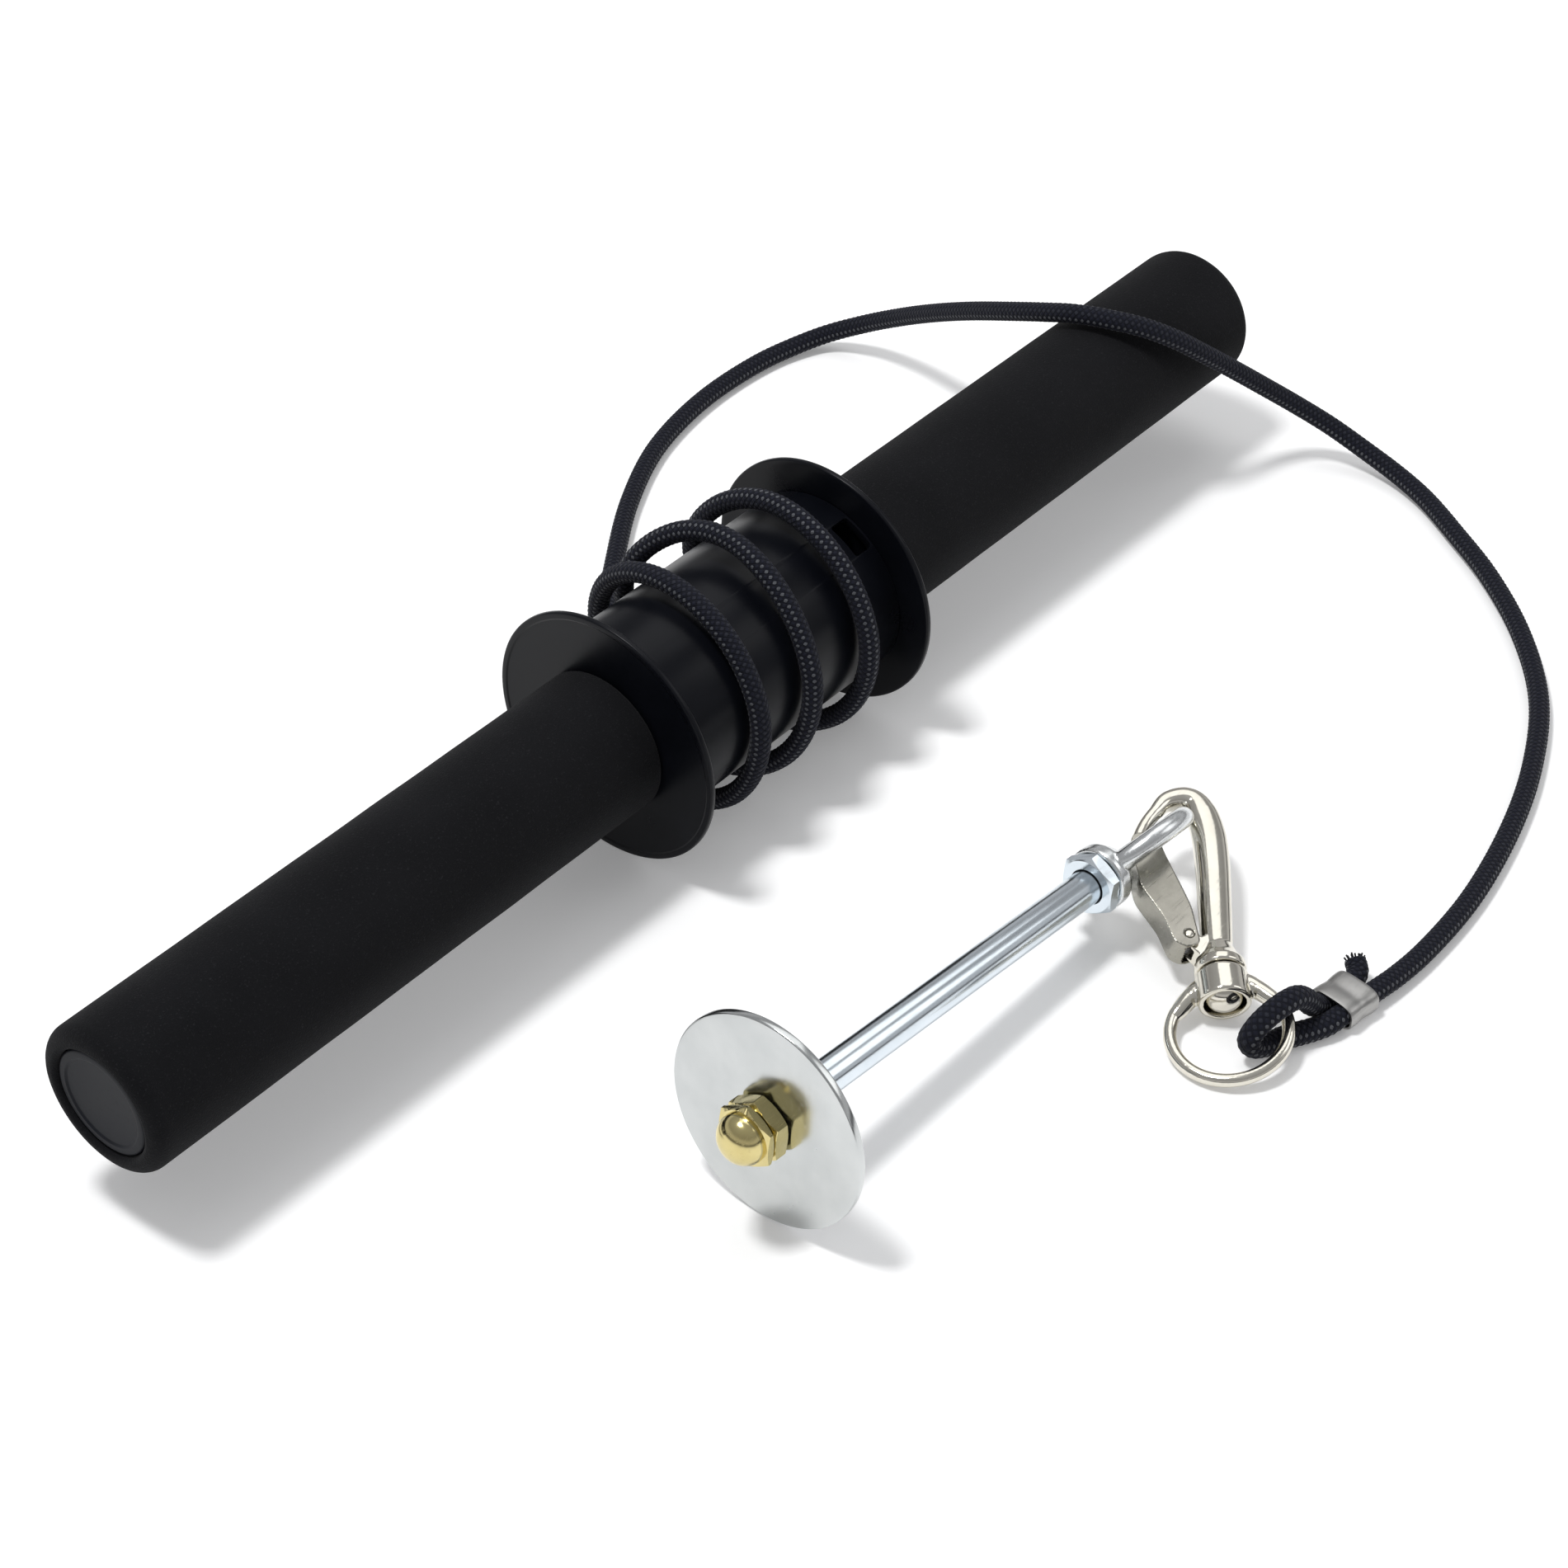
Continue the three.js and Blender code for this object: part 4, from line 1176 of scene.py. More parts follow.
    def braid_shape(self, line: np.ndarray) -> tuple[Shape, np.ndarray]:
        """Winds the braid's yarns over and under each other round the line.

        Args:
            line: The rope's middle line.

        Returns:
            The rope's shape, and its map: the share round it and the metres along it at each point.
        """
        share = np.arange(self.sides) / self.sides
        length = np.arange(len(line)) * self.step
        round_way, long_way = BRAID_YARNS * share[None], length[:, None] / BRAID_PLAIT
        weave = np.abs(np.sin(FULL_TURN * (round_way + long_way)) * np.sin(FULL_TURN * (round_way - long_way)))
        middle = np.mean(np.array(self.bight), axis=0) + SHIFT
        pressed = np.exp(-((np.linalg.norm(line - middle, axis=1) / self.swell_reach) ** 2))
        radius = (self.diameter / 2 - self.braid_depth * (1 - weave)) * (1 + self.bight_swell * pressed[:, None])
        rings, _ = sections(line, radius, self.sides)
        ends = [(line[n] + (rings[n] - line[n]) * self.end_taper)[None] for n in (0, -1)]
        places = np.concatenate([[0.0], length, [length[-1]]]) * MM
        cord_map = np.stack(np.broadcast_arrays(share[None], places[:, None]), axis=-1).reshape(-1, 2)
        return loft(np.concatenate([ends[0], rings, ends[1]])), cord_map

    @staticmethod
    def map_cord(thing: Thing, cord_map: np.ndarray) -> None:
        """Writes the cord's map, so that the braid follows it.

        Args:
            thing: The rope.
            cord_map: The map's value at each of its points.
        """
        mesh = thing.data
        loops = np.zeros(len(mesh.loops), np.int32)
        mesh.loops.foreach_get("vertex_index", loops)
        values = cord_map[loops]
        for face in mesh.polygons:
            shares = values[face.loop_start : face.loop_start + face.loop_total, 0]
            if face.loop_total == 4 and shares.max() - shares.min() > 0.5:
                shares[shares < 0.5] += 1.0
        mesh.uv_layers.new(name=CORD_MAP).data.foreach_set("uv", values.ravel())

    def fray(self, line: np.ndarray) -> Shape:
        """Makes the loose yarn ends that stand out of the rope's cut end.

        Args:
            line: The rope's middle line.

        Returns:
            All the strands in one shape.
        """
        random = np.random.default_rng(7)
        end, way = line[-1], line[-1] - line[-4]
        way = way / np.linalg.norm(way)
        across, up = sections(line[-6:], 1.0, 3)[1][-1]
        points, faces = [], []
        for number in range(self.fray_strands):
            turn, off, ahead, aside, long, curl = (low + size * random.random() for low, size in self.fray_draws)
            angle = 2 * FULL_TURN * number / self.fray_strands + turn
            out = across * math.cos(angle) + up * math.sin(angle)
            root = end - way * self.fray_depth + out * off
            lean = (way * ahead + out * aside) * long
            tip = root + lean + out * curl
            tip[2] = max(tip[2], self.fray_floor)
            bent = evenly(np.array([root, root + lean / 2, tip]), self.fray_step)
            strand = loft(sections(bent, self.fray_yarn / 2, 6)[0])
            faces += [tuple(n + len(points) for n in face) for face in strand.faces]
            points += strand.points.tolist()
        return Shape(np.array(points), faces)

    def sleeve_ring(self, place: float, inset: float) -> np.ndarray:
        """Makes one ring of the clamp's sleeve, a squared round.

        Args:
            place: Where it is along the clamp.
            inset: How far it lies inside the clamp's outline.

        Returns:
            The ring's points.
        """
        angles = FULL_TURN * np.arange(self.clamp_sides) / self.clamp_sides
        sizes = (self.clamp_height + self.strand_spacing) / 2 - inset, self.clamp_height / 2 - inset
        y, z = (
            np.sign(wave) * np.abs(wave) ** self.clamp_square * size
            for wave, size in zip((np.cos(angles), np.sin(angles)), sizes)
        )
        return np.stack([np.full(self.clamp_sides, place), y, z], axis=1)

    def clamp(self) -> Thing:
        """Makes the flat clamp: a folded sleeve, pressed in at its middle.

        Returns:
            The clamp.
        """
        half = self.clamp_length / 2
        outer, inner = [], []
        for place in np.linspace(-half, half, self.clamp_steps):
            edge = max(0.0, abs(place) / half - self.clamp_edge_at) * self.clamp_edge
            press = self.clamp_press * math.exp(-((place / self.clamp_press_reach) ** 2))
            outer.append(self.sleeve_ring(place, edge * self.clamp_wall + press))
            inner.append(self.sleeve_ring(place, self.clamp_wall))
        rings = np.array(outer + inner[::-1])
        sleeve = Shape(rings.reshape(-1, 3), quads(len(rings), self.clamp_sides, closed=True))
        place = moved(*(np.array(self.clamp_point(0.0, 0.0)) + SHIFT)) @ turned(self.clamp_heading, "Z")
        thing = mesh_object("clamp_sleeve", sleeve.placed(place))
        soften(thing, degrees=40.0)
        return dress(thing, Body.ROPE, Slot.CLAMP, "ferrule")

    def build(self) -> None:
        line = self.centreline()
        shape, cord_map = self.braid_shape(line)
        thing = mesh_object("rope", shape)
        self.map_cord(thing, cord_map)
        thing.data.shade_smooth()
        dress(thing, Body.ROPE, Slot.CORD, "rope_wound", "rope_free", "rope_loop", "rope_tail")
        fray = mesh_object("rope_fray", self.fray(line))
        fray.data.shade_smooth()
        fray.data.uv_layers.new(name=CORD_MAP)
        dress(fray, Body.ROPE, Slot.CORD)
        clamp = self.clamp()


@dataclass
class Roller:
    """The bar: foam grips, end caps, the spool's drum and flanges, and the tube inside."""

    grip_diameter: float = 35.0
    grip_length: float = 150.0
    grip_edges: Point = (1.0, 3.5, 1.2)
    grip_band: float = 2.5
    grip_ripple: float = 0.06
    tube_diameter: float = 25.0
    tube_wall: float = 1.5
    cap_recess: float = 0.8
    cap_head: float = 2.0
    cap_dish: float = 0.35
    cap_lips: tuple[float, float] = (2.4, 1.9)
    cap_plug: float = 12.0
    plug_wall: float = 2.0
    spool_length: float = 77.6
    flange_diameter: float = 62.6
    flange_wall: float = 1.5
    flange_dish: float = 0.22
    flange_lips: Point = (1.6, 1.4, 1.8)
    hub_length: float = 3.0
    hub_wall: float = 1.8
    drum_diameter: float = 46.6
    drum_wall: float = 2.0
    web_place: float = 24.0
    web_wall: float = 2.0
    slot_size: tuple[float, float] = (5.6, 9.0)
    slot_inset: float = 3.4
    slot_round: float = 0.8
    slot_angle: float = 120.0
    knot_size: Point = (6.8, 9.0, 6.0)
    knot_twist: float = 1.6
    knot_furrow: float = 0.07
    sides: int = 128

    def __post_init__(self) -> None:
        """Works out where the bar's own axes lie, the drum's end, the slots' place and the bore."""
        self.lay = moved(SHIFT[0], SHIFT[1], AXIS_HEIGHT)
        self.drum_end = self.spool_length / 2 - self.flange_wall - GAP
        self.slot_place = self.drum_end - self.slot_inset
        self.bore = self.tube_diameter / 2 + GAP

    def pair(self, name: str, shapes: list[Shape], slot: Slot) -> list[Thing]:
        """Makes a far piece and its like at the near end, turned about Z.

        Args:
            name: What their nodes' names end in.
            shapes: The far one's and the near one's shape, both drawn at the far end.
            slot: The record's slot.

        Returns:
            The two pieces.
        """
        ends = (("far", "right", self.lay), ("near", "left", self.lay @ turned(180, "Z")))
        things = []
        for shape, (end, side, place) in zip(shapes, ends):
            thing = mesh_object(f"{end}_{name}", shape.placed(place))
            soften(thing)
            things.append(dress(thing, Body.ROLLER, slot, f"{side}_{name}"))
        return things

    def grip(self, seed: int) -> Shape:
        """Makes a foam sleeve whose skin wanders a little, with a rolled outer end.

        Args:
            seed: Which wander its skin has.

        Returns:
            The sleeve at the far end.
        """
        start = self.spool_length / 2 + GAP
        end, outer = start + self.grip_length, self.grip_diameter / 2
        corners = [(start, self.bore), (start, outer), (end, outer), (end, self.bore)]
        outline = fillet(corners, dict(enumerate(self.grip_edges, 1)), 8)
        long = []
        for here, there in zip(outline, outline[1:] + outline[:1]):
            parts = max(1, int(abs(there[0] - here[0]) // self.grip_band))
            long += [tuple(h + (t - h) * part / parts for h, t in zip(here, there)) for part in range(parts)]
        return lathe(long, self.sides, self.grip_ripple, seed)

    def cap(self) -> Shape:
        """Makes an end cap: a rimmed head with a shallow dish, and a hollow plug.

        Returns:
            The cap at the far end.
        """
        face = self.spool_length / 2 + GAP + self.grip_length - self.cap_recess
        head, outer = face - self.cap_head, self.tube_diameter / 2
        plug, back, dish = outer - self.tube_wall - GAP, head - self.cap_plug, face - self.cap_dish
        low, high = (outer - lip for lip in self.cap_lips)
        corners = [
            (dish, 0.0), (dish, low), (face, high), (face, outer), (head, outer), (head, plug),
            (back, plug), (back, plug - self.plug_wall), (head, plug - self.plug_wall), (head, 0.0),
        ]
        return lathe(fillet(corners, {1: 0.3, 2: 0.25, 3: 0.7, 4: 0.2, 6: 0.6, 7: 0.3}), self.sides)

    def flange(self) -> Shape:
        """Makes a cheek of the spool with its rounded rim, a thin lip and its hub.

        Returns:
            The flange at the far end.
        """
        outside, rim, bore = self.spool_length / 2, self.flange_diameter / 2, self.bore
        inside, dish = outside - self.flange_wall, outside - self.flange_dish
        hub, hub_rim = inside - self.hub_length, bore + self.hub_wall
        back, high, low = (rim - lip for lip in self.flange_lips)
        corners = [
            (hub, bore), (hub, hub_rim), (inside, hub_rim), (inside, back), (inside, rim), (outside, rim),
            (outside, high), (dish, low), (dish, bore),
        ]
        return lathe(fillet(corners, {1: 0.4, 2: 0.5, 4: 0.5, 5: 0.45, 6: 0.2, 7: 0.2}), self.sides)

    def drum(self) -> None:
        """Makes the drum with its two slots, their edges rounded."""
        end, outer, bore = self.drum_end, self.drum_diameter / 2, self.bore
        inner = outer - self.drum_wall
        near, far = self.web_place, self.web_place + self.web_wall
        outline = [
            (-end, inner), (-end, outer), (end, outer), (end, inner), (far, inner), (far, bore), (near, bore),
            (near, inner), (-near, inner), (-near, bore), (-far, bore), (-far, inner),
        ]
        x, y = self.slot_size[0] / 2, self.slot_size[1] / 2
        window = fillet([(-x, -y), (x, -y), (x, y), (-x, y)], dict.fromkeys(range(4), self.slot_round))
        slot = prism(window, inner - 1, outer + 1)
        turns = (self.slot_angle - 90, self.slot_angle + 90)
        cutters = [slot.placed(turned(angle, "X") @ moved(self.slot_place, 0, 0)) for angle in turns]
        thing = combined("drum", self.lay, [lathe(outline, self.sides)], cutters)
        bevelled(thing, width=0.3, degrees=40.0)
        dress(thing, Body.ROLLER, Slot.PLASTIC, "spool_drum")

    def knot(self) -> None:
        """Makes the rope's stopper inside the drum: a pressed, twisted lump of its yarns."""
        ball = ellipsoid((1.0, 1.0, 1.0), 36)
        angle = np.arctan2(ball.points[:, 2], ball.points[:, 1]) + ball.points[:, 0] * self.knot_twist
        points = ball.points * (1 - self.knot_furrow * (1 - np.abs(np.sin(3 * angle))))[:, None]
        points = points[:, [1, 0, 2]] * np.array(self.knot_size) / 2
        middle = self.drum_diameter / 2 - self.drum_wall - GAP - self.knot_size[2] / 2
        lay = self.lay @ turned(self.slot_angle + 90, "X") @ moved(self.slot_place, 0, middle)
        thing = mesh_object("stopper_knot", Shape(points, ball.faces).placed(lay))
        thing.data.shade_smooth()
        thing.data.uv_layers.new(name=CORD_MAP)
        dress(thing, Body.ROLLER, Slot.CORD, "rope_knot")

    def core(self) -> None:
        """Dresses the tube inside the bar, which no view shows."""
        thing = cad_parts["core_tube"]
        thing.data.materials.clear()
        thing.data.materials.append(material_of(Slot.TUBE))
        log.info("core_tube keeps its solid")

    def build(self) -> None:
        """Builds every piece of the bar."""
        for sleeve in self.pair("grip", [self.grip(3), self.grip(4)], Slot.FOAM):
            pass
        self.pair("end_cap", [self.cap()] * 2, Slot.CAP)
        self.pair("flange", [self.flange()] * 2, Slot.PLASTIC)
        self.drum()
        self.knot()
        self.core()


@dataclass
class SwivelHook:
    """The cast snap hook: swivel ring, riveted post, hook with its gate, and the gate's pin and spring."""

    point: Point = (7.35, -135.8, 7.36)
    heading: float = 42.1
    pitch: float = 9.9
    hook_roll: float = -8.8
    ring_roll: float = 10.0
    ring_drop: float = 15.2
    ring_radius: float = 12.65
    ring_wire: float = 3.0
    boss_diameter: float = 11.8
    boss_length: float = 7.7
    shoulder_size: Point = (2.3, 4.5, 2.3)
    shoulder_turn: float = 45.0
    root_size: Point = (2.1, 7.5, 2.1)
    root_at: tuple[float, float] = (1.8, -1.6)
    root_turn: float = 42.0
    head_diameter: float = 8.6
    head_edge: float = 1.4
    head_dome: float = 3.4
    dimple: Point = (0.35, 0.1, 0.12)
    pocket_depth: float = 4.1
    shank_diameter: float = 4.4
    shank_depth: float = 4.0
    length: float = 49.0
    reach: float = 17.0
    spine_width: float = 7.8
    depth: float = 7.0
    bar_square: float = 0.85
    base_diameter: float = 11.4
    base_rim: float = 2.0
    base_neck: float = 7.6
    base_neck_diameter: float = 6.4
    base_cone_diameter: float = 9.0
    ear_diameter: float = 5.2
    ear_wall: float = 1.0
    pivot: tuple[float, float] = (-6.8, 8.2)
    pin_diameter: float = 2.0
    gate_depth: float = 6.7
    gate_sheet: float = 0.6
    gate_width: float = 8.2
    gate_length: float = 27.6
    gate_lap: float = 2.6
    gate_round: float = 1.6
    spring_wire: float = 0.6
    spring_diameter: float = 4.0
    spring_turns: int = 3
    spring_pitch: float = 0.65
    spring_leg: float = 5.0
    hook_shares: tuple[tuple[float, float, float, float], ...] = (
        (-0.01, 0.1, 0.42, 0.46), (0.04, 0.35, 0.474, 0.5), (0.1, 0.633, 0.5, 0.5), (0.106, 0.788, 0.5, 0.5),
        (0.053, 0.908, 0.474, 0.48), (-0.035, 0.98, 0.385, 0.43), (-0.18, 1, 0.346, 0.4),
        (-0.406, 0.976, 0.282, 0.34), (-0.588, 0.904, 0.205, 0.27), (-0.747, 0.824, 0.192, 0.24),
        (-0.853, 0.743, 0.192, 0.23), (-0.888, 0.692, 0.167, 0.2),
    )
    gate_shares: tuple[tuple[float, float], ...] = (
        (0.28, -0.09), (0.16, 0.28), (-0.06, 0.5), (-0.36, 0.78), (-0.5, 0.96), (-0.62, 1), (-1.08, 1),
        (-1.27, 0.94), (-1.28, 0.8), (-1.16, 0.45), (-0.64, 0.15), (-0.44, -0.09), (-0.1, -0.14),
    )

    def lay(self, roll: float) -> Matrix:
        """Works out the place of the axes that lie across the hook, along it and out of its face.

        Args:
            roll: How far they are turned about the hook's length.

        Returns:
            The place.
        """
        heading, pitch, roll = (math.radians(a) for a in (self.heading, self.pitch, roll))
        along = Vector((math.cos(heading) * math.cos(pitch), math.sin(heading) * math.cos(pitch), math.sin(pitch)))
        level = Vector((math.sin(heading), -math.cos(heading), 0.0))
        across = level * math.cos(roll) + level.cross(along) * math.sin(roll)
        place = Matrix((across, along, across.cross(along))).transposed().to_4x4()
        place.translation = Vector(self.point) + Vector(SHIFT)
        return place

    @staticmethod
    def upright(shape: Shape) -> Shape:
        """Returns a shape that was turned about X, stood along the hook."""
        return shape.placed(turned(90, "Z"))

    def pin_hole(self) -> Shape:
        """Returns what bores the hole for the gate's pin."""
        hole = bar(-self.depth, self.depth, (self.pin_diameter + GAP) / 2, 32)
        return hole.placed(moved(*self.pivot, 0) @ turned(90, "Y"))

    def ring(self) -> None:
        """Makes the swivel ring with its pocketed boss."""
        bottom, radius = -GAP - self.boss_length, self.boss_diameter / 2
        wire = hoop(self.ring_radius, self.ring_wire, 160, 32).placed(moved(0, -self.ring_drop, 0))
        boss = fillet([(bottom, 0), (bottom, radius), (-GAP, radius), (-GAP, 0)], {1: 0.7, 2: 0.9})
        drop = self.ring_drop - math.sqrt(self.ring_radius**2 - radius**2)
        solids = [wire, self.upright(lathe(boss, 64))]
        for side in (1, -1):
            place = moved(side * radius, -drop, 0) @ turned(side * self.shoulder_turn, "Z")
            solids.append(ellipsoid(self.shoulder_size).placed(place))
            out, low = self.root_at
            place = moved(side * (radius + out), low - drop, 0) @ turned(side * self.root_turn, "Z")
            solids.append(ellipsoid(self.root_size).placed(place))
        pocket = bar(bottom - 1, bottom + self.pocket_depth, self.head_diameter / 2 + GAP, 64)
        hole = bar(bottom, 1, self.shank_diameter / 2 + GAP, 48)
        cutters = [self.upright(pocket), self.upright(hole)]
        thing = combined("swivel_ring_cast", self.lay(self.ring_roll), solids, cutters)
        cast(thing, grain=0.22)
        dress(thing, Body.RING, Slot.NICKEL, "swivel_ring")

    def post(self) -> None:
        """Makes the swivel's rivet: a domed head, a dimple from the press, and its shank."""
        seat = -self.boss_length + self.pocket_depth - 2 * GAP
        face = seat - self.head_edge
        top, head, shank = face - self.head_dome, self.head_diameter / 2, self.shank_diameter / 2
        angles = [math.pi / 2 * number / 16 for number in range(2, 16)]
        dome = [(face - self.head_dome * math.cos(a), head * math.sin(a)) for a in angles]
        deep, rise, share = self.dimple
        outline = [
            (top + deep, 0.0), (top + rise, head * share), *dome, (face, head), (seat, head), (seat, shank),
            (self.shank_depth, shank), (self.shank_depth, 0.0),
        ]
        shape = self.upright(lathe(outline, 64)).placed(self.lay(self.hook_roll))
        thing = mesh_object("swivel_rivet", shape)
        soften(thing, degrees=40.0)
        dress(thing, Body.HOOK, Slot.NICKEL, "swivel_post")

    def hook_bar(self) -> Shape:
        """Makes the bent bar of the hook, a squared round that thins towards its nose.

        Returns:
            The bar.
        """
        shares = np.array(self.hook_shares)
        middle = shares[:, :2] * np.array([self.reach, self.length])
        line = catmull(np.column_stack([middle, np.zeros(len(middle))]), 12)
        places, whole = np.linspace(0, len(shares) - 1, len(line)), np.arange(len(shares))
        half_wide = np.interp(places, whole, shares[:, 2])[:, None] * self.spine_width
        half_deep = np.interp(places, whole, shares[:, 3])[:, None] * self.depth
        along = np.gradient(line, axis=0)
        along /= np.linalg.norm(along, axis=1)[:, None]
        angles = FULL_TURN * (np.arange(48) + 0.5) / 48
        flat, deep = (np.sign(w) * np.abs(w) ** self.bar_square for w in (np.cos(angles), np.sin(angles)))
        across = np.stack([along[:, 1], -along[:, 0], np.zeros(len(line))], axis=1)
        rings = line[:, None] + across[:, None] * (half_wide * flat)[:, :, None]
        rings[:, :, 2] = half_deep * deep
        return loft(rings)

    def hook(self) -> None:
        """Makes the hook's body: bar, turned base and the two ears, with their holes and pocket."""
        foot, rim, base, neck = GAP / 2, self.base_rim, self.base_diameter / 2, self.base_neck
        base_outline = fillet([
            (foot, 0), (foot, base), (foot + rim, base), (foot + 2 * rim, self.base_cone_diameter / 2),
            (neck, self.base_neck_diameter / 2), (neck, 0),
        ], {1: 0.6, 2: 0.5})
        (x, y), radius, wide = self.pivot, self.ear_diameter / 2, self.ear_diameter
        ears = arc((x, y), radius, math.pi, -math.pi, 24) + [(0.0, y + radius), (0.0, rim), (x / 2, rim)]
        outer = self.gate_depth / 2 - self.gate_sheet - GAP
        half = outer - self.ear_wall
        side = self.spring_diameter / 2 + self.spring_wire + GAP
        pocket = [(x - wide, y - wide), (x + side, y - side), (x + side, y + wide), (x - wide, y + wide)]
        shank_hole = bar(-1, self.shank_depth + GAP, (self.shank_diameter + GAP) / 2, 48)
        solids = [self.hook_bar(), self.upright(lathe(base_outline, 64)), prism(ears, -outer, outer)]
        cutters = [prism(pocket, -half, half), self.pin_hole(), self.upright(shank_hole)]
        thing = combined("hook_cast", self.lay(self.hook_roll), solids, cutters)
        cast(thing, grain=0.24)
        dress(thing, Body.HOOK, Slot.NICKEL, "hook_body")

    def gate(self) -> None:
        """Makes the gate: a channel folded from sheet, with rounded corners."""
        x, y = self.pivot
        outline = self.rounded_loop([(x + a * self.gate_width, y + b * self.gate_length) for a, b in self.gate_shares])
        half = self.gate_depth / 2
        channel = half - self.gate_sheet
        inside = prism([(a + self.gate_sheet, b) for a, b in outline], -channel, channel)
        top, far = y + self.gate_length, x - 2 * self.gate_width
        low = top - self.gate_lap - 1
        lap = prism([(far, low), (x, low), (x, top + 1), (far, top + 1)], -channel, channel)
        cutters = [inside, lap, self.pin_hole()]
        thing = combined("gate_channel", self.lay(self.hook_roll), [prism(outline, -half, half)], cutters)
        cast(thing, grain=0.17, rounds=4)
        # The gate wears the darker copy of the nickel plate: painted shade.
        dress(thing, Body.GATE, Slot.NICKEL, "gate", look=Look.SHADED_NICKEL)

    def rounded_loop(self, corners: Outline, steps: int = 6) -> Outline:
        """Cuts each corner of a closed outline back to a soft curve.

        Args:
            corners: The outline.
            steps: How many parts each curve has.

        Returns:
            The outline with its curves.
        """
        points = np.array(corners, float)
        result = []
        for number, corner in enumerate(points):
            sides = (points[number - 1] - corner, points[(number + 1) % len(points)] - corner)
            first, last = (corner + side * min(0.4, self.gate_round / np.linalg.norm(side)) for side in sides)
            for t in np.arange(steps + 1) / steps:
                result.append(tuple((1 - t) ** 2 * first + 2 * t * (1 - t) * corner + t * t * last))
        return result

    def pin_and_spring(self) -> None:
        """Makes the gate's pin, with burred ends, and the wound spring on it."""
        lay, (x, y) = self.lay(self.hook_roll), self.pivot
        half = self.gate_depth / 2
        pin = bar(-half, half, self.pin_diameter / 2, 40, edge=0.3)
        thing = mesh_object("gate_rivet", pin.placed(lay @ moved(x, y, 0) @ turned(90, "Y")))
        soften(thing)
        dress(thing, Body.HOOK, Slot.NICKEL, "gate_pin")
        radius, deep = self.spring_diameter / 2, self.spring_turns * self.spring_pitch
        steps = self.spring_turns * 24
        turns = arc((x, y), radius, math.pi, self.spring_turns * FULL_TURN, steps)
        points = [(x - radius, y + self.spring_leg, -deep / 2)]
        points += [(a, b, deep * (number / steps - 0.5)) for number, (a, b) in enumerate(turns)]
        coil = loft(sections(evenly(np.array(points), 0.25), self.spring_wire / 2, 12)[0])
        thing = mesh_object("gate_coil", coil.placed(lay))
        thing.data.shade_smooth()
        dress(thing, Body.HOOK, Slot.TUBE, "gate_spring")

    def build(self) -> None:
        """Builds every piece of the hook."""
        self.ring()
        self.post()
        self.hook()
        self.gate()
        self.pin_and_spring()


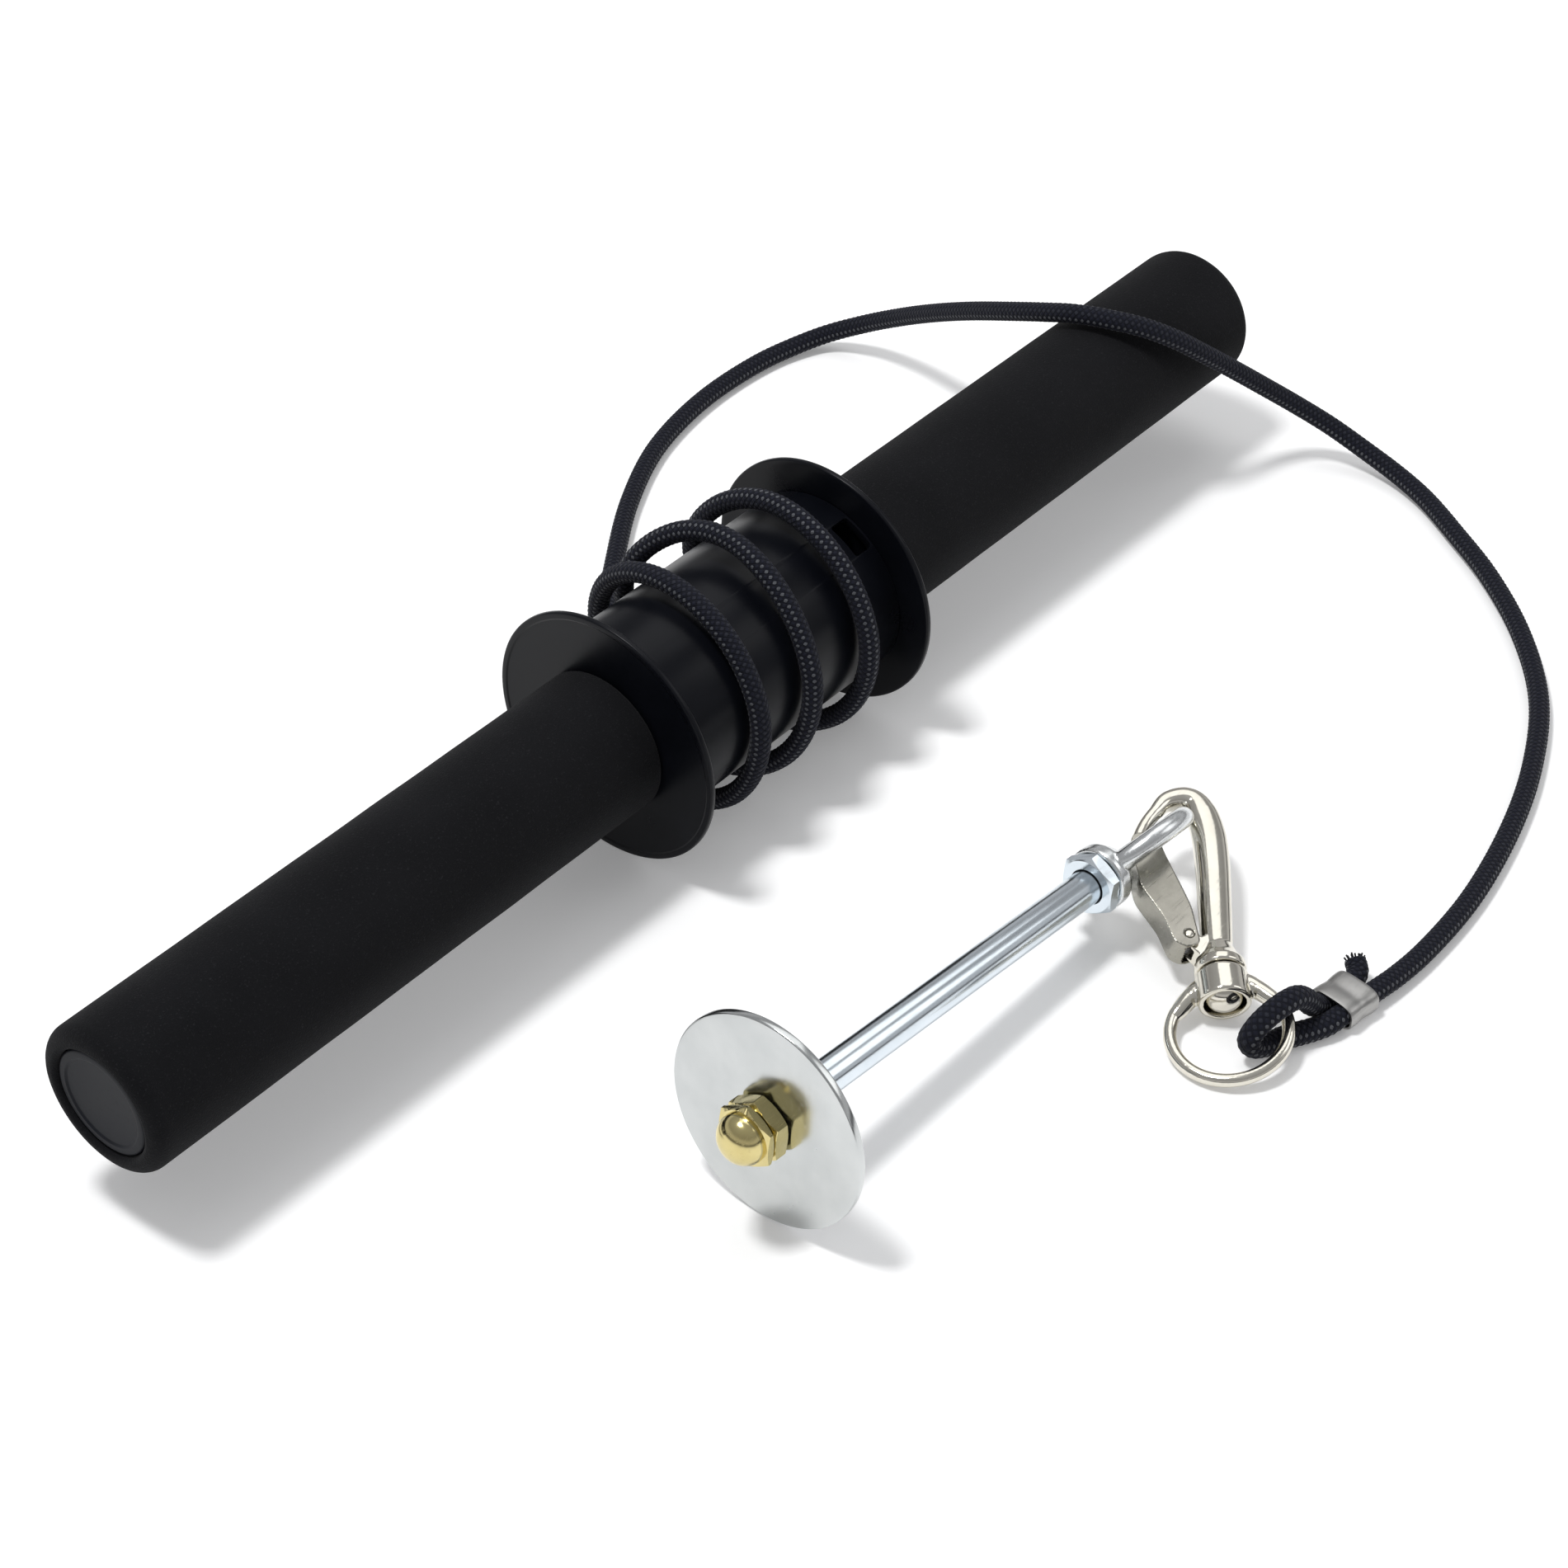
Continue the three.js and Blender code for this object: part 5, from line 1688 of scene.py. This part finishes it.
@dataclass
class LoadingPin:
    """The pin that carries weights: rod, disc, two brass nuts, a thin nut and the lifting eye."""

    plate_point: Point = (-102.0, -100.2, 24.6)
    heading: float = -1.0
    pitch: float = -4.7
    rod_diameter: float = 8.0
    thread_diameter: float = 6.0
    plate_diameter: float = 49.2
    plate_wall: float = 2.0
    plate_recess: float = 0.5
    nut_width: float = 13.0
    nut_height: float = 4.0
    nut_chamfer: float = 0.97
    nut_edge: float = 0.14
    dome_base: float = 2.0
    dome_diameter: float = 11.4
    dome_height: float = 4.6
    dome_rise: float = 0.3
    dome_bore: float = 5.2
    jam_height: float = 3.2
    eye_radius: float = 12.75
    eye_wire: float = 4.8
    eye_face: float = 109.7
    eye_rise: float = 14.7
    collar_diameter: float = 14.8
    collar_height: float = 3.0
    neck_diameter: float = 11.0
    neck_height: float = 6.0
    eye_turn: float = 54.0
    sides: int = 96

    def __post_init__(self) -> None:
        """Works out the place of the pin's own axes, X from the disc to the eye, and its two bores."""
        point = Vector(self.plate_point) + Vector(SHIFT)
        self.lay = Matrix.Translation(point) @ turned(self.heading, "Z") @ turned(-self.pitch, "Y")
        self.thread_bore = self.thread_diameter / 2 + GAP
        self.rod_bore = self.rod_diameter / 2 + GAP

    def put(self, name: str, shape: Shape, node: str, look: Look | None = None) -> None:
        """Places a turned shape on the pin and dresses it.

        Args:
            name: The piece's name.
            shape: Its shape.
            node: The node that it replaces.
            look: Its own finish, where that isn't the slot's.
        """
        thing = mesh_object(name, shape.placed(self.lay))
        soften(thing)
        dress(thing, Body.PIN, Slot.ZINC, node, look=look)

    def rod(self) -> None:
        """Makes the rod, with a chamfered shoulder at each end."""
        shoulder = self.plate_wall / 2 - self.plate_recess + GAP
        foot = -self.plate_wall / 2 - self.nut_height - self.dome_base - 2 * GAP
        end = self.eye_face + self.neck_height - GAP
        thread, radius = self.thread_diameter / 2, self.rod_diameter / 2
        corners = [(foot, 0.0), (foot, thread), (shoulder, thread), (shoulder, radius), (end, radius), (end, 0.0)]
        self.put("rod", lathe(fillet(corners, {1: 0.5, 3: 0.5, 4: 0.6}), self.sides), "load_rod")

    def plate(self) -> None:
        """Makes the disc, its pressed edges rounded."""
        half, rim, bore, seat = self.plate_wall / 2, self.plate_diameter / 2, self.thread_bore, self.rod_bore
        recess = half - self.plate_recess
        corners = [(-half, bore), (-half, rim), (half, rim), (half, seat), (recess, seat), (recess, bore)]
        outline = fillet(corners, {0: 0.2, 1: 0.45, 2: 0.45, 3: 0.15})
        self.put("disc", lathe(outline, 160), "plate_disc", Look.DISC)

    def nut(
        self, name: str, ends: tuple[float, float], bore: float, slot: Slot, node: str, *steps: list[Shape]
    ) -> None:
        """Makes a six-sided nut with its corners cut at both ends.

        Args:
            name: The piece's name.
            ends: Where it starts and ends along the pin.
            bore: Its bore's radius, or 0 for none.
            slot: The record's slot.
            node: The node that it replaces.
            steps: What is joined to it, then what is cut from it.
        """
        corner = self.nut_width / math.sqrt(3)
        six = prism(arc((0.0, 0.0), corner, 0.0, FULL_TURN, 6)[:6], *ends).placed(turned(90, "Y"))
        out, low = corner + 2, self.nut_width / 2 * self.nut_chamfer
        slope = (out - low) * 0.5
        tools = []
        for face, way in zip(ends, (1, -1)):
            cone = [(face - way, low), (face, low), (face + way * slope, out), (face - way, out)]
            tools.append(lathe(cone, self.sides))
        if bore > 0:
            tools.append(bar(ends[0] - 1, ends[1] + 1, bore, 64))
        thing = combined(name, self.lay, [six], tools, *steps)
        bevelled(thing, self.nut_edge, degrees=25.0)
        dress(thing, Body.PIN, slot, node)

    def nuts(self) -> None:
        """Makes the brass nut against the disc, the domed brass nut and the thin nut at the eye."""
        face = -self.plate_wall / 2 - GAP
        start = face - self.nut_height
        self.nut("hex_nut_brass", (start, face), self.thread_bore, Slot.BRASS, "hex_nut")
        face = start - GAP
        start, middle = face - self.dome_base, face - self.dome_base / 2
        neck, high, radius = start - self.dome_rise, self.dome_height, self.dome_diameter / 2
        angles = [math.pi / 2 * number / 24 for number in range(1, 25)]
        dome = [(neck - high, 0.0), *((neck - high * math.cos(a), radius * math.sin(a)) for a in angles)]
        dome += [(middle, radius), (middle, 0.0)]
        hole = bar(face - self.dome_bore, face + 1, self.thread_bore, 64)
        ends = (start, face)
        self.nut("dome_nut_brass", ends, 0.0, Slot.BRASS, "dome_nut", [lathe(dome, self.sides)], [hole])
        face = self.eye_face - GAP
        self.nut("thin_nut", (face - self.jam_height, face), self.rod_bore, Slot.ZINC, "jam_nut")

    def eye(self) -> None:
        """Makes the lifting eye: a forged ring on a collar, the two run into each other."""
        ring = hoop(self.eye_radius, self.eye_wire, 160, 40)
        ring = ring.placed(moved(self.eye_face + self.eye_rise, 0, 0) @ turned(-self.eye_turn, "X"))
        start, mid, end = (self.eye_face + rise for rise in (0.0, self.collar_height, self.neck_height))
        wide, slim = self.collar_diameter / 2, self.neck_diameter / 2
        collar = fillet([(start, 0), (start, wide), (mid, wide), (end, slim), (end, 0)], {1: 0.5, 2: 0.9, 3: 0.6})
        hole = bar(start - 1, end + 1, self.rod_bore, 64)
        thing = combined("lifting_eye", self.lay, [ring, lathe(collar, self.sides)], [hole])
        cast(thing, grain=0.26)
        dress(thing, Body.PIN, Slot.ZINC, "eye_nut", look=Look.FORGED)

    def build(self) -> None:
        """Builds every piece of the loading pin."""
        self.rod()
        self.plate()
        self.nuts()
        self.eye()


def main() -> None:
    """Builds the scene: camera and rope first, then the sub-assemblies."""
    Studio().build()
    for part in (Rope(), Roller(), SwivelHook(), LoadingPin()):
        part.build()
        log.info("%s is built", type(part).__name__)


if __name__ == "__main__":
    main()
